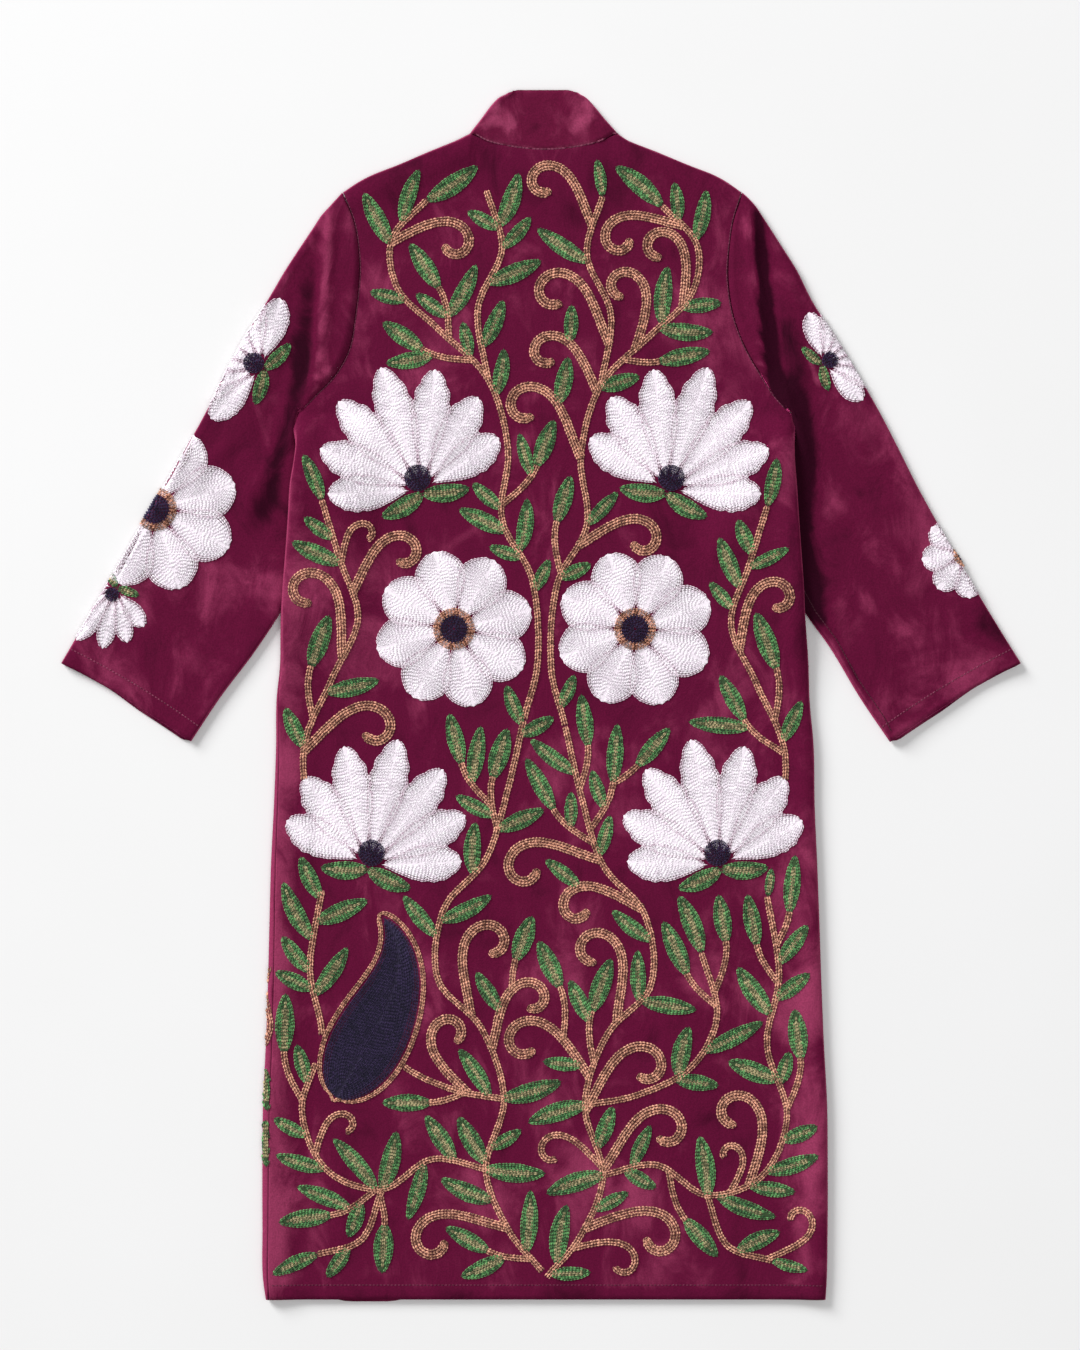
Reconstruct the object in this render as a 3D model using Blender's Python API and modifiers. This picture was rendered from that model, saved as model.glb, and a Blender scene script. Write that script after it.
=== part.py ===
"""Long velvet coat lying flat on its front, seen from the back.

Six cloth pieces, cut and sewn apart: a back, two fronts, two set-in sleeves and a stand collar.
The hem lies towards -Y, the collar towards +Y, and the cloth rests on the plane z = 0.
All sizes below are millimetres.
"""

import math
from collections import namedtuple

import bpy
import numpy as np

MM = 0.001

WALL = 2.0
LAYERED = 4.8
HALF_SEAM = 0.15
SEAM_STRAIGHT = 1.5
SEAM_SET = 0.01
ARMHOLE_SEAM = 0.5
ARMHOLE_END = 1.0
COLLAR_SEAM = 0.45
FOLD_RADIUS = 3.2
CORNER_RADIUS = 8.0
ARMPIT_GAP = 0.5
NECK_GAP = 0.6
SLOPE_GAP = 0.8
FULL_LIFT = 7.0
SLANT_LIMIT = 0.5
FOLD_TURN = 20.0
UNDERARM_TURN = 50.0
ARMPIT_FADE = 27.0
NECK_FADE = 12.0
SHOULDER_FADE = 30.0
RIDGE_FADE = 0.25
RIDGE_START = 14.0
BULGE_START = 5.0
CUFF_START = 0.9
EDGE_WINDOW = 3.0
COLLAR_FOLD_SHARE = 0.25
CENTRE_FRONT = 3.0
HALF_FRONT_GAP = 0.5
HEM = -604.5
ARMPIT = 282.0
YOKE = 414.0
SWELL_WIDTH = 38.0
TUCK_WIDTH = 42.0
TUCK_SLOPE = 60.0
CUFF_BULGE = 3.0
BULGE_FADE = 1.5
BULGE_REACH = 250.0

VELVET = (0.106, 0.010, 0.036, 1.0)
VELVET_LIGHT = (0.128, 0.013, 0.046, 1.0)
VELVET_DARK = (0.088, 0.008, 0.030, 1.0)

Side = namedtuple("Side", "y left right")
SIDE_LINES = [
    Side(-604.5, -275.5, 284.5),
    Side(-590.0, -277.5, 285.4),
    Side(-505.0, -279.0, 287.0),
    Side(-405.0, -278.0, 286.0),
    Side(-325.0, -274.0, 281.5),
    Side(-245.0, -272.0, 279.0),
    Side(-165.0, -270.0, 276.0),
    Side(-85.0, -266.0, 272.5),
    Side(-45.0, -265.0, 272.5),
    Side(-5.0, -264.5, 268.5),
    Side(35.0, -260.5, 267.0),
    Side(80.0, -259.5, 263.5),
    Side(116.0, -257.5, 262.0),
    Side(160.0, -253.5, 258.5),
    Side(209.0, -251.0, 255.5),
    Side(232.0, -247.0, 253.5),
    Side(250.0, -245.0, 253.0),
    Side(267.0, -245.5, 252.0),
    Side(282.0, -241.5, 248.0),
]
BACK_ARMHOLE = [
    Side(282.0, -241.5, 248.0),
    Side(297.0, -228.0, 235.0),
    Side(316.0, -209.0, 222.5),
    Side(343.0, -193.0, 206.5),
    Side(379.0, -186.0, 192.5),
    Side(414.0, -182.0, 187.0),
    Side(446.0, -182.0, 187.7),
    Side(475.0, -187.0, 192.0),
    Side(502.5, -198.0, 200.5),
]
FRONT_ARMHOLE = [
    Side(282.0, -241.5, 248.0),
    Side(297.0, -226.0, 233.0),
    Side(316.0, -204.0, 217.0),
    Side(343.0, -184.0, 196.0),
    Side(379.0, -178.0, 184.0),
    Side(414.0, -176.0, 181.0),
    Side(446.0, -178.0, 183.0),
    Side(475.0, -185.0, 190.0),
    Side(502.5, -198.0, 200.5),
]

Section = namedtuple("Section", "y radius lift wrap")
SECTIONS = [
    Section(-604.5, 4.0, 0.0, 6.5),
    Section(-590.0, 4.2, 0.0, 7.5),
    Section(-505.0, 4.4, 0.0, 9.0),
    Section(-405.0, 4.4, 0.0, 9.5),
    Section(-285.0, 4.4, 0.0, 8.5),
    Section(-165.0, 4.4, 0.0, 7.5),
    Section(-45.0, 4.4, 0.0, 6.0),
    Section(10.0, 4.3, 0.0, 4.0),
    Section(30.0, 4.2, 1.5, 3.0),
    Section(50.0, 4.2, 4.0, 2.0),
    Section(75.0, 4.2, 7.0, 1.0),
    Section(110.0, 4.2, 7.0, 0.0),
    Section(240.0, 4.2, 7.0, 0.0),
    Section(252.0, 4.0, 6.2, 0.0),
    Section(267.0, 3.6, 3.2, 0.0),
    Section(282.0, FOLD_RADIUS, 0.0, 0.0),
]

Point = namedtuple("Point", "x y")
SHOULDER_LEFT = [
    Point(-198.0, 502.5),
    Point(-184.0, 512.5),
    Point(-171.0, 519.0),
    Point(-142.0, 530.5),
    Point(-113.0, 543.0),
    Point(-86.0, 554.0),
    Point(-71.5, 561.0),
]
SHOULDER_RIGHT = [
    Point(200.5, 502.5),
    Point(187.0, 512.5),
    Point(175.0, 519.0),
    Point(146.0, 530.5),
    Point(116.0, 543.0),
    Point(88.0, 554.0),
    Point(77.0, 561.0),
]
BACK_NECK = [
    Point(-71.5, 561.0),
    Point(-56.0, 555.0),
    Point(-38.0, 550.0),
    Point(-18.0, 546.8),
    Point(3.0, 545.4),
    Point(24.0, 546.6),
    Point(44.0, 549.8),
    Point(62.0, 555.0),
    Point(77.0, 561.0),
]
FRONT_NECK_LEFT = [
    Point(-71.5, 561.0),
    Point(-66.0, 535.0),
    Point(-52.0, 505.0),
    Point(-28.0, 480.0),
    Point(2.5, 463.0),
]
FRONT_NECK_RIGHT = [
    Point(77.0, 561.0),
    Point(71.5, 535.0),
    Point(58.0, 505.0),
    Point(34.0, 480.0),
    Point(3.5, 463.0),
]
COLLAR_FOLD_LEFT = [Point(-71.5, 561.0), Point(-60.5, 575.0), Point(-49.5, 590.0), Point(-34.5, 604.5)]
COLLAR_FOLD_RIGHT = [Point(77.0, 561.0), Point(64.5, 575.0), Point(52.0, 590.0), Point(38.5, 604.5)]
COLLAR_TOP_LEFT = [
    Point(-34.5, 604.5),
    Point(-24.0, 575.0),
    Point(-12.0, 548.0),
    Point(-2.0, 531.0),
    Point(2.5, 520.0),
]
COLLAR_TOP_RIGHT = [
    Point(38.5, 604.5),
    Point(29.0, 575.0),
    Point(17.0, 548.0),
    Point(8.0, 531.0),
    Point(3.5, 520.0),
]

OUTER_LEFT = [
    Point(-198.0, 502.5),
    Point(-219.0, 479.5),
    Point(-231.0, 461.0),
    Point(-249.0, 435.0),
    Point(-267.0, 404.5),
    Point(-284.0, 376.0),
    Point(-302.0, 349.0),
    Point(-320.0, 312.5),
    Point(-338.0, 276.0),
    Point(-385.0, 195.0),
    Point(-443.0, 95.0),
    Point(-467.0, 54.0),
    Point(-480.0, 32.0),
]
OUTER_RIGHT = [
    Point(200.5, 502.5),
    Point(212.0, 492.0),
    Point(226.0, 470.5),
    Point(242.0, 445.5),
    Point(255.0, 425.0),
    Point(272.0, 391.0),
    Point(287.0, 369.0),
    Point(317.0, 320.0),
    Point(342.0, 276.5),
    Point(383.0, 195.0),
    Point(441.0, 95.0),
    Point(466.0, 54.0),
    Point(480.0, 32.0),
]
UNDERARM_LEFT = [
    Point(-243.2, 283.4),
    Point(-246.2, 282.3),
    Point(-247.8, 279.0),
    Point(-247.6, 273.0),
    Point(-247.3, 263.0),
    Point(-246.5, 254.0),
    Point(-242.0, 240.0),
    Point(-234.0, 222.0),
    Point(-228.0, 195.0),
    Point(-226.0, 170.0),
    Point(-231.0, 145.0),
    Point(-243.0, 115.0),
    Point(-259.5, 84.0),
    Point(-277.0, 55.0),
    Point(-309.0, 15.0),
    Point(-336.0, -25.0),
    Point(-350.0, -46.5),
]
UNDERARM_RIGHT = [
    Point(249.7, 283.4),
    Point(252.7, 282.3),
    Point(254.4, 279.0),
    Point(254.1, 273.0),
    Point(254.1, 263.0),
    Point(254.1, 254.0),
    Point(250.0, 240.0),
    Point(241.0, 222.0),
    Point(234.0, 198.0),
    Point(231.0, 172.0),
    Point(235.0, 145.0),
    Point(246.0, 115.0),
    Point(263.5, 82.0),
    Point(285.0, 55.0),
    Point(307.0, 15.0),
    Point(334.0, -25.0),
    Point(349.0, -47.0),
]

Ridge = namedtuple("Ridge", "x0 y0 x1 y1 half_width height")
BACK_RIDGES = [
    Ridge(236.0, 250.0, 165.0, 130.0, 30.0, 3.0),
    Ridge(-232.0, 250.0, -170.0, 150.0, 28.0, 2.6),
    Ridge(-95.0, -60.0, -118.0, -520.0, 52.0, 2.4),
    Ridge(112.0, -20.0, 150.0, -500.0, 56.0, 2.8),
    Ridge(-20.0, 330.0, 30.0, 90.0, 60.0, 1.8),
    Ridge(-120.0, 430.0, 110.0, 440.0, 40.0, 1.4),
]
LEFT_SLEEVE_RIDGES = [
    Ridge(-212.0, 478.0, -236.0, 300.0, 10.0, 4.5),
    Ridge(-262.0, 372.0, -304.0, 246.0, 24.0, 3.4),
    Ridge(-330.0, 200.0, -390.0, 84.0, 34.0, 2.2),
]
RIGHT_SLEEVE_RIDGES = [
    Ridge(208.0, 486.0, 225.0, 318.0, 9.5, 5.5),
    Ridge(240.0, 436.0, 268.0, 300.0, 19.0, 4.2),
    Ridge(330.0, 210.0, 384.0, 96.0, 34.0, 2.4),
]

BODY_ROWS = (HEM, -590, -530, -470, -410, -350, -290, -230, -170, -110, -50, -5, 35, 60, 80, 105, 140, 180,
             212, 234, 250, 266, ARMPIT)
ARMPIT_ROWS = (2.4, CORNER_RADIUS)
ARMHOLE_ROWS = (297.0, 316.0, 343.0, 379.0, YOKE)
YOKE_ROWS = (446.0, 475.0)
SEAM_STEPS = (0.0, 1.35, 3.25, 4.95)
FOLD_STEPS = (0.0, 1.7, 3.4, 5.03)
SIDE_STEPS = (0.0, 1.35, 3.85, 6.75)
FRONT_SIDE_STEPS = (0.0, 1.5, 3.0, 4.5, 6.0)
FRONT_SIDE_REACH = 7.0
CORNER_STEPS = (2.4, CORNER_RADIUS)
Ring = namedtuple("Ring", "reach under")
SLEEVE_ROWS = [
    Ring(0.0, 0.0),
    Ring(9.0, 0.6),
    Ring(20.0, 1.2),
    Ring(31.0, 1.8),
    Ring(44.0, 2.6),
    Ring(66.0, 3.8),
    Ring(95.0, 5.6),
    Ring(130.0, 8.2),
    Ring(170.0, 11.5),
    Ring(212.0, 16.5),
    Ring(255.0, 26.0),
    Ring(298.0, 52.0),
    Ring(342.0, 98.0),
    Ring(386.0, 152.0),
    Ring(430.0, 206.0),
    Ring(474.0, 262.0),
    Ring(516.0, 322.0),
    Ring(549.0, 374.0),
]
COLLAR_ROWS = (0.0, 0.33, 0.67, 1.0)


def smooth(value):
    value = min(max(value, 0.0), 1.0)
    return value * value * (3.0 - 2.0 * value)


def look_up(table, y, column):
    """Value of one column of a table whose rows rise in y."""
    return float(np.interp(y, [row.y for row in table], [getattr(row, column) for row in table]))


def polyline(points):
    return np.array([(point.x, point.y) for point in points], dtype=float)


def lengths(line):
    steps = np.hypot(*np.diff(line, axis=0).T)
    return np.concatenate([[0.0], np.cumsum(steps)])


def at_length(line, distance):
    """Point of a polyline at a distance from its first point."""
    along = lengths(line)
    return np.array([np.interp(distance, along, line[:, 0]), np.interp(distance, along, line[:, 1])])


def at_share(line, share):
    return at_length(line, share * lengths(line)[-1])


def ridge_height(ridges, x, y):
    """Sum of the soft ridges over a place in the plan."""
    total = 0.0
    for ridge in ridges:
        run = np.array([ridge.x1 - ridge.x0, ridge.y1 - ridge.y0])
        length = np.hypot(*run)
        offset = np.array([x - ridge.x0, y - ridge.y0])
        share = float(offset @ run) / length ** 2
        across = abs(float(offset[0] * run[1] - offset[1] * run[0])) / length / ridge.half_width
        if across < 1.0 and 0.0 < share < 1.0:
            ends = smooth(share / RIDGE_FADE) * smooth((1.0 - share) / RIDGE_FADE)
            total += ridge.height * ends * (1.0 - across ** 2) ** 2
    return total


def side_distance(x, y):
    """How far a place lies inside the nearer side of the body."""
    return min(x - look_up(SIDE_LINES, y, "left"), look_up(SIDE_LINES, y, "right") - x)


def underside(x, y):
    """Height of the front's outer face, which rises over the sleeve tucked below the side."""
    if y > ARMPIT:
        return 0.0
    rise = 1.0 - smooth((side_distance(x, y) - TUCK_WIDTH) / TUCK_SLOPE)
    return look_up(SECTIONS, y, "lift") * rise


def shoulder_height(x, y):
    """Swell of the back where it turns over the shoulder."""
    if x < 0.0:
        line, neck = SHOULDER_LEFT, SHOULDER_LEFT[-1].x - x
    else:
        line, neck = SHOULDER_RIGHT[::-1], x - SHOULDER_RIGHT[-1].x
    points = sorted(line, key=lambda point: point.x)
    edge = float(np.interp(x, [point.x for point in points], [point.y for point in points]))
    near = 1.0 - smooth((edge - y - FOLD_RADIUS) / SHOULDER_FADE)
    return (2.0 * FOLD_RADIUS - LAYERED) * near * smooth((neck + NECK_FADE) / NECK_FADE)


def back_height(x, y):
    """Height of the back's outer face over the plan."""
    if y <= ARMPIT:
        radius = look_up(SECTIONS, y, "radius")
        near = 1.0 - smooth((side_distance(x, y) - radius) / SWELL_WIDTH)
        swell = (2.0 * radius - LAYERED) * near
    else:
        fade = 1.0 - smooth((y - ARMPIT) / ARMPIT_FADE)
        edge = min(x - look_up(BACK_ARMHOLE, y, "left"), look_up(BACK_ARMHOLE, y, "right") - x)
        near = 1.0 - smooth((edge - FOLD_RADIUS) / SWELL_WIDTH)
        swell = max((2.0 * FOLD_RADIUS - LAYERED) * near * fade, shoulder_height(x, y))
    lift = underside(x, y)
    slope = SLOPE_GAP * math.sin(math.pi * lift / FULL_LIFT)
    return LAYERED + lift + slope + swell + ridge_height(BACK_RIDGES, x, y)


def roll(distance, radius, seam=None):
    """Inward reach and height above the fold's middle, at a distance round a fold of the given radius.

    Close to a seam the cloth runs straight, so that the two edges face each other.
    """
    quarter = radius * math.pi / 2.0
    if seam is not None and abs(distance - seam) <= SEAM_STRAIGHT + ARMPIT_GAP + 0.01:
        inward, rise = roll(seam, radius)
        angle = min(seam / radius, math.pi / 2.0)
        return inward + math.sin(angle) * (distance - seam), rise + math.cos(angle) * (distance - seam)
    if abs(distance) <= quarter:
        angle = distance / radius
        return radius * (1.0 - math.cos(angle)), radius * math.sin(angle)
    return radius + abs(distance) - quarter, math.copysign(radius, distance)


def corner_share(step):
    """How far the cloth has turned from a fold's middle height to its face, just beyond a corner."""
    return math.sqrt(max(0.0, 1.0 - (1.0 - min(step / CORNER_RADIUS, 1.0)) ** 2))


def half_seam(y):
    """Half of the gap at the side seams, which opens a little where three pieces meet."""
    return HALF_SEAM + ARMPIT_GAP * smooth((y - ARMPIT + ARMPIT_FADE) / ARMPIT_FADE)


def body_point(side, y, distance, armhole, upper):
    """Point of the body's outer face at a distance round the side fold, or in from the armhole seam."""
    sign = 1.0 if side == "right" else -1.0
    if y <= ARMPIT:
        radius = look_up(SECTIONS, y, "radius")
        edge = look_up(SIDE_LINES, y, side)
        seam = look_up(SECTIONS, y, "wrap") if side == "left" else 0.0
        inward, rise = roll(distance, radius, seam)
        x = edge - sign * inward
        base = underside(edge, y)
        if abs(distance) > radius * math.pi / 2.0:
            z = back_height(x, y) if distance > 0.0 else underside(x, y)
        else:
            z = base + radius + rise
        return np.array([x, y, z])
    edge = look_up(armhole, y, side)
    x = edge - sign * abs(distance)
    face = back_height(x, y) if upper else 0.0
    share = corner_share(y - ARMPIT)
    inward, rise = roll(distance, FOLD_RADIUS, 0.0)
    rolled = np.array([edge - sign * inward, y, FOLD_RADIUS + rise])
    return share * np.array([x, y, face]) + (1.0 - share) * rolled


def coons(bottom, top, left, right):
    """Plan points between four boundary lines: rows run from bottom to top, columns from left to right."""
    bottom, top, left, right = (np.asarray(line, dtype=float) for line in (bottom, top, left, right))
    across = lengths(bottom) / lengths(bottom)[-1]
    rise = lengths(left)
    rows = rise / rise[-1]
    grid = []
    for index, v in enumerate(rows):
        line = []
        for column, u in enumerate(across):
            edges = (1 - v) * bottom[column] + v * top[column] + (1 - u) * left[index] + u * right[index]
            corners = (1 - u) * ((1 - v) * bottom[0] + v * top[0]) + u * ((1 - v) * bottom[-1] + v * top[-1])
            line.append(edges - corners)
        grid.append(line)
    return grid


def yoke_levels(armhole, side):
    """Plan points up an armhole from the yoke line to the shoulder, closer where the shoulder turns."""
    line = np.array([(getattr(row, side), row.y) for row in armhole if row.y >= YOKE])
    total = lengths(line)[-1]
    levels = [at_length(line, 0.0)]
    for y in YOKE_ROWS:
        levels.append(np.array([look_up(armhole, y, side), y]))
    for step in SEAM_STEPS[::-1]:
        levels.append(at_length(line, total - roll(step + HALF_SEAM, FOLD_RADIUS, 0.0)[0] - SEAM_SET * step))
    return levels


def shoulder_turn(level_count, row):
    """Height round the shoulder fold for the last rows of the yoke, or None below them."""
    index = row - (level_count - len(SEAM_STEPS))
    if index < 0:
        return None
    step = SEAM_STEPS[::-1][index] + HALF_SEAM
    return roll(step, FOLD_RADIUS, 0.0)[1]


def ease_rows(grid, turned):
    """Spread the last rows below an edge that lies flat, where they would stand over each other."""
    for column, share in enumerate(turned):
        top = grid[-1][column]
        down = unit(grid[-1 - len(SEAM_STEPS)][column] - top)
        for index, step in enumerate(SEAM_STEPS):
            row = grid[-1 - index]
            row[column] = share * row[column] + (1.0 - share) * (top + down * step)
    return grid


def neck_gap(x, turn):
    """Extra room between back and front beside the ends of the neck seam."""
    beside = min(abs(x - SHOULDER_LEFT[-1].x), abs(x - SHOULDER_RIGHT[-1].x))
    return NECK_GAP * (1.0 - smooth(beside / NECK_FADE)) * (1.0 - turn / FOLD_RADIUS)


def back_rows():
    """Rows of points of the back's outer face, hem to shoulders."""
    left_count = len(SIDE_STEPS)
    shoulder_left = polyline(SHOULDER_LEFT)
    shoulder_right = polyline(SHOULDER_RIGHT)
    neck = polyline(BACK_NECK)
    neck_length = lengths(neck)[-1]
    top = [at_length(shoulder_left, step) for step in SIDE_STEPS]
    top += list(shoulder_left[2:])
    turned = [1.0] * len(top)
    for step in CORNER_STEPS:
        top.append(at_length(neck, step))
        turned.append(1.0 - corner_share(step))
    for point in neck[1:-1]:
        top.append(point)
        turned.append(0.0)
    for step in CORNER_STEPS[::-1]:
        top.append(at_length(neck, neck_length - step))
        turned.append(1.0 - corner_share(step))
    top += list(shoulder_right[2:][::-1])
    top += [at_length(shoulder_right, step) for step in SIDE_STEPS[::-1]]
    turned += [1.0] * (len(top) - len(turned))
    inner_count = len(top) - 2 * left_count

    rows = []
    for y in list(BODY_ROWS) + [ARMPIT + step for step in ARMPIT_ROWS] + list(ARMHOLE_ROWS):
        wrap = look_up(SECTIONS, y, "wrap")
        gap = half_seam(y)
        line = [body_point("left", y, wrap + gap + step, BACK_ARMHOLE, True) for step in SIDE_STEPS]
        end = [body_point("right", y, gap + step, BACK_ARMHOLE, True) for step in SIDE_STEPS[::-1]]
        for index in range(1, inner_count + 1):
            x = line[left_count - 1][0] + (end[0][0] - line[left_count - 1][0]) * index / (inner_count + 1)
            line.append(np.array([x, y, back_height(x, y)]))
        rows.append(line + end)

    bottom = [point[:2] for point in rows[-1]]
    left = yoke_levels(BACK_ARMHOLE, "left")
    right = yoke_levels(BACK_ARMHOLE, "right")
    top[0] = left[-1]
    top[-1] = right[-1]
    grid = ease_rows(coons(bottom, top, left, right), turned)
    for index, line in enumerate(grid[1:], start=1):
        turn = shoulder_turn(len(grid), index)
        row = []
        for column, (x, y) in enumerate(line):
            face = back_height(x, y)
            if turn is not None:
                face += turned[column] * (FOLD_RADIUS + turn - face)
                face += neck_gap(x, turn)
            row.append(np.array([x, y, face]))
        rows.append(row)
    return rows


def front_rows(side):
    """Rows of points of one front's outer face, from the side seam to the centre front."""
    sign = 1.0 if side == "right" else -1.0
    shoulder = polyline(SHOULDER_RIGHT if side == "right" else SHOULDER_LEFT)
    neck = polyline(FRONT_NECK_RIGHT if side == "right" else FRONT_NECK_LEFT)
    side_steps = (0.0,) + tuple(SEAM_STRAIGHT - 0.1 + step for step in FRONT_SIDE_STEPS)
    top = [at_length(shoulder, step) for step in side_steps]
    top += list(shoulder[2:])
    turned = [1.0] * len(top)
    for step in CORNER_STEPS:
        top.append(at_length(neck, step))
        turned.append(1.0 - corner_share(step))
    for point in neck[1:]:
        top.append(point)
        turned.append(0.0)
    seam_drop = 2.0 * HALF_SEAM
    for column in range(len(top)):
        if turned[column] < 1.0:
            top[column] = top[column] + np.array([sign * seam_drop, -seam_drop])
    centre = CENTRE_FRONT + sign * HALF_FRONT_GAP
    top[-1] = np.array([centre, top[-1][1]])
    side_columns = len(side_steps)
    inner_count = len(top) - side_columns

    rows = []
    for y in list(BODY_ROWS) + [ARMPIT + step for step in ARMPIT_ROWS] + list(ARMHOLE_ROWS):
        wrap = look_up(SECTIONS, y, "wrap") if side == "left" else 0.0
        start = wrap - half_seam(y)
        line = []
        line.append(body_point(side, y, start, FRONT_ARMHOLE, False))
        start = wrap - SEAM_STRAIGHT
        for step in FRONT_SIDE_STEPS:
            distance = start + (-FRONT_SIDE_REACH - start) * step / FRONT_SIDE_STEPS[-1]
            line.append(body_point(side, y, distance, FRONT_ARMHOLE, False))
        first = line[-1][0]
        spacing = (CENTRE_FRONT - first) / inner_count
        for index in range(1, inner_count):
            x = first + spacing * index
            line.append(np.array([x, y, underside(x, y)]))
        line.append(np.array([centre, y, 0.0]))
        rows.append(line)

    bottom = [point[:2] for point in rows[-1]]
    outer = yoke_levels(FRONT_ARMHOLE, side)
    top[0] = outer[-1]
    rise = lengths(np.array(outer))
    inner = [np.array([centre, YOKE + (top[-1][1] - YOKE) * share]) for share in rise / rise[-1]]
    grid = ease_rows(coons(bottom, top, outer, inner), turned)
    for index, line in enumerate(grid[1:], start=1):
        turn = shoulder_turn(len(grid), index)
        row = []
        for column, (x, y) in enumerate(line):
            height = 0.0
            if turn is not None:
                height = max(0.0, turned[column] * (FOLD_RADIUS - turn) - neck_gap(x, turn))
            row.append(np.array([x, y, height]))
        rows.append(row)
    return rows


def unit(vector):
    return vector / np.hypot(*vector)


def slant(direction, edge):
    """How much longer a fold's reach is along a line that meets the fold's edge at a slant."""
    sine = abs(float(direction[0] * edge[1] - direction[1] * edge[0]))
    return 1.0 / max(sine, SLANT_LIMIT)


def square(edge, towards):
    """Direction at right angles to an edge, on the side of another direction."""
    normal = np.array([-edge[1], edge[0]])
    return normal if float(normal @ towards) > 0.0 else -normal


def heading(line, distance, reach):
    return unit(at_length(line, distance + reach) - at_length(line, distance - reach))


def seam_levels(side, table, shift):
    """Plan points of an armhole seam between its two ends, on the sleeve's side."""
    return [np.array([getattr(row, side), row.y]) + shift for row in table[::-1][1:-1]]


def sleeve_rows(side):
    """Rings of points of one sleeve's outer face, from the armhole to the cuff."""
    sign = 1.0 if side == "right" else -1.0
    outer = polyline(OUTER_RIGHT if side == "right" else OUTER_LEFT)
    inner = polyline(UNDERARM_RIGHT if side == "right" else UNDERARM_LEFT)
    ridges = RIGHT_SLEEVE_RIDGES if side == "right" else LEFT_SLEEVE_RIDGES
    shift = np.array([sign * ARMHOLE_SEAM, 0.0])
    start = outer[0] + shift
    chord = inner[0] - start
    faces = {}
    for upper, table in ((True, BACK_ARMHOLE), (False, FRONT_ARMHOLE)):
        points = seam_levels(side, table, shift)
        shares = [float((point - start) @ chord) / float(chord @ chord) for point in points]
        bulges = [point - start - share * chord for point, share in zip(points, shares)]
        faces[upper] = (shares, bulges, unit(points[0] - start), unit(points[-1] - inner[0]))
    outer_scale = lengths(outer)[-1] / SLEEVE_ROWS[-1].reach
    inner_scale = lengths(inner)[-1] / SLEEVE_ROWS[-1].under
    rings = []
    for row in SLEEVE_ROWS:
        t = row.reach / SLEEVE_ROWS[-1].reach
        fold = at_length(outer, row.reach * outer_scale) + shift * (1.0 - t) * ARMHOLE_END / ARMHOLE_SEAM
        under = at_length(inner, row.under * inner_scale)
        run = under - fold
        width = np.hypot(*run)
        along = np.array([-run[1], run[0]]) / width * (-sign)
        hem = CUFF_BULGE * smooth((t - CUFF_START) / (1.0 - CUFF_START))
        fold_edge = heading(outer, row.reach * outer_scale, EDGE_WINDOW)
        under_edge = heading(inner, row.under * inner_scale, EDGE_WINDOW)
        settled = smooth(row.reach / FOLD_TURN)
        settled_under = smooth(row.reach / UNDERARM_TURN)
        ring = []
        for upper in (True, False):
            shares, bulges, from_fold, from_under = faces[upper]
            turn = 1.0 if upper else -1.0
            inward = unit(from_fold * (1.0 - settled) + square(fold_edge, run) * settled)
            stretch = slant(inward, fold_edge)
            half = []
            for step in FOLD_STEPS if upper else FOLD_STEPS[1:]:
                reach, rise = roll(step, FOLD_RADIUS)
                plan = fold + inward * reach * stretch
                half.append(np.array([plan[0], plan[1], FOLD_RADIUS + turn * rise]))
            for share, bulge in zip(shares, bulges):
                blend = math.exp(-BULGE_FADE * row.reach / (BULGE_REACH * (1.0 - share) + BULGE_START))
                plan = fold + run * share + bulge * blend + along * hem * 4.0 * share * (1.0 - share)
                height = 0.0
                if upper:
                    near = 1.0 - smooth((min(share, 1.0 - share) * width - FOLD_RADIUS) / SWELL_WIDTH)
                    height = LAYERED + (2.0 * FOLD_RADIUS - LAYERED) * near
                    height += ridge_height(ridges, *plan) * smooth(row.reach / RIDGE_START)
                half.append(np.array([plan[0], plan[1], height]))
            inward = unit(from_under * (1.0 - settled_under) - run / width * settled_under)
            stretch = slant(inward, under_edge)
            for step in (FOLD_STEPS if upper else FOLD_STEPS[1:])[::-1]:
                reach, rise = roll(step, FOLD_RADIUS)
                plan = under + inward * reach * stretch
                half.append(np.array([plan[0], plan[1], FOLD_RADIUS + turn * rise]))
            ring += half if upper else half[::-1]
        rings.append(ring)
    return rings


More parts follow.
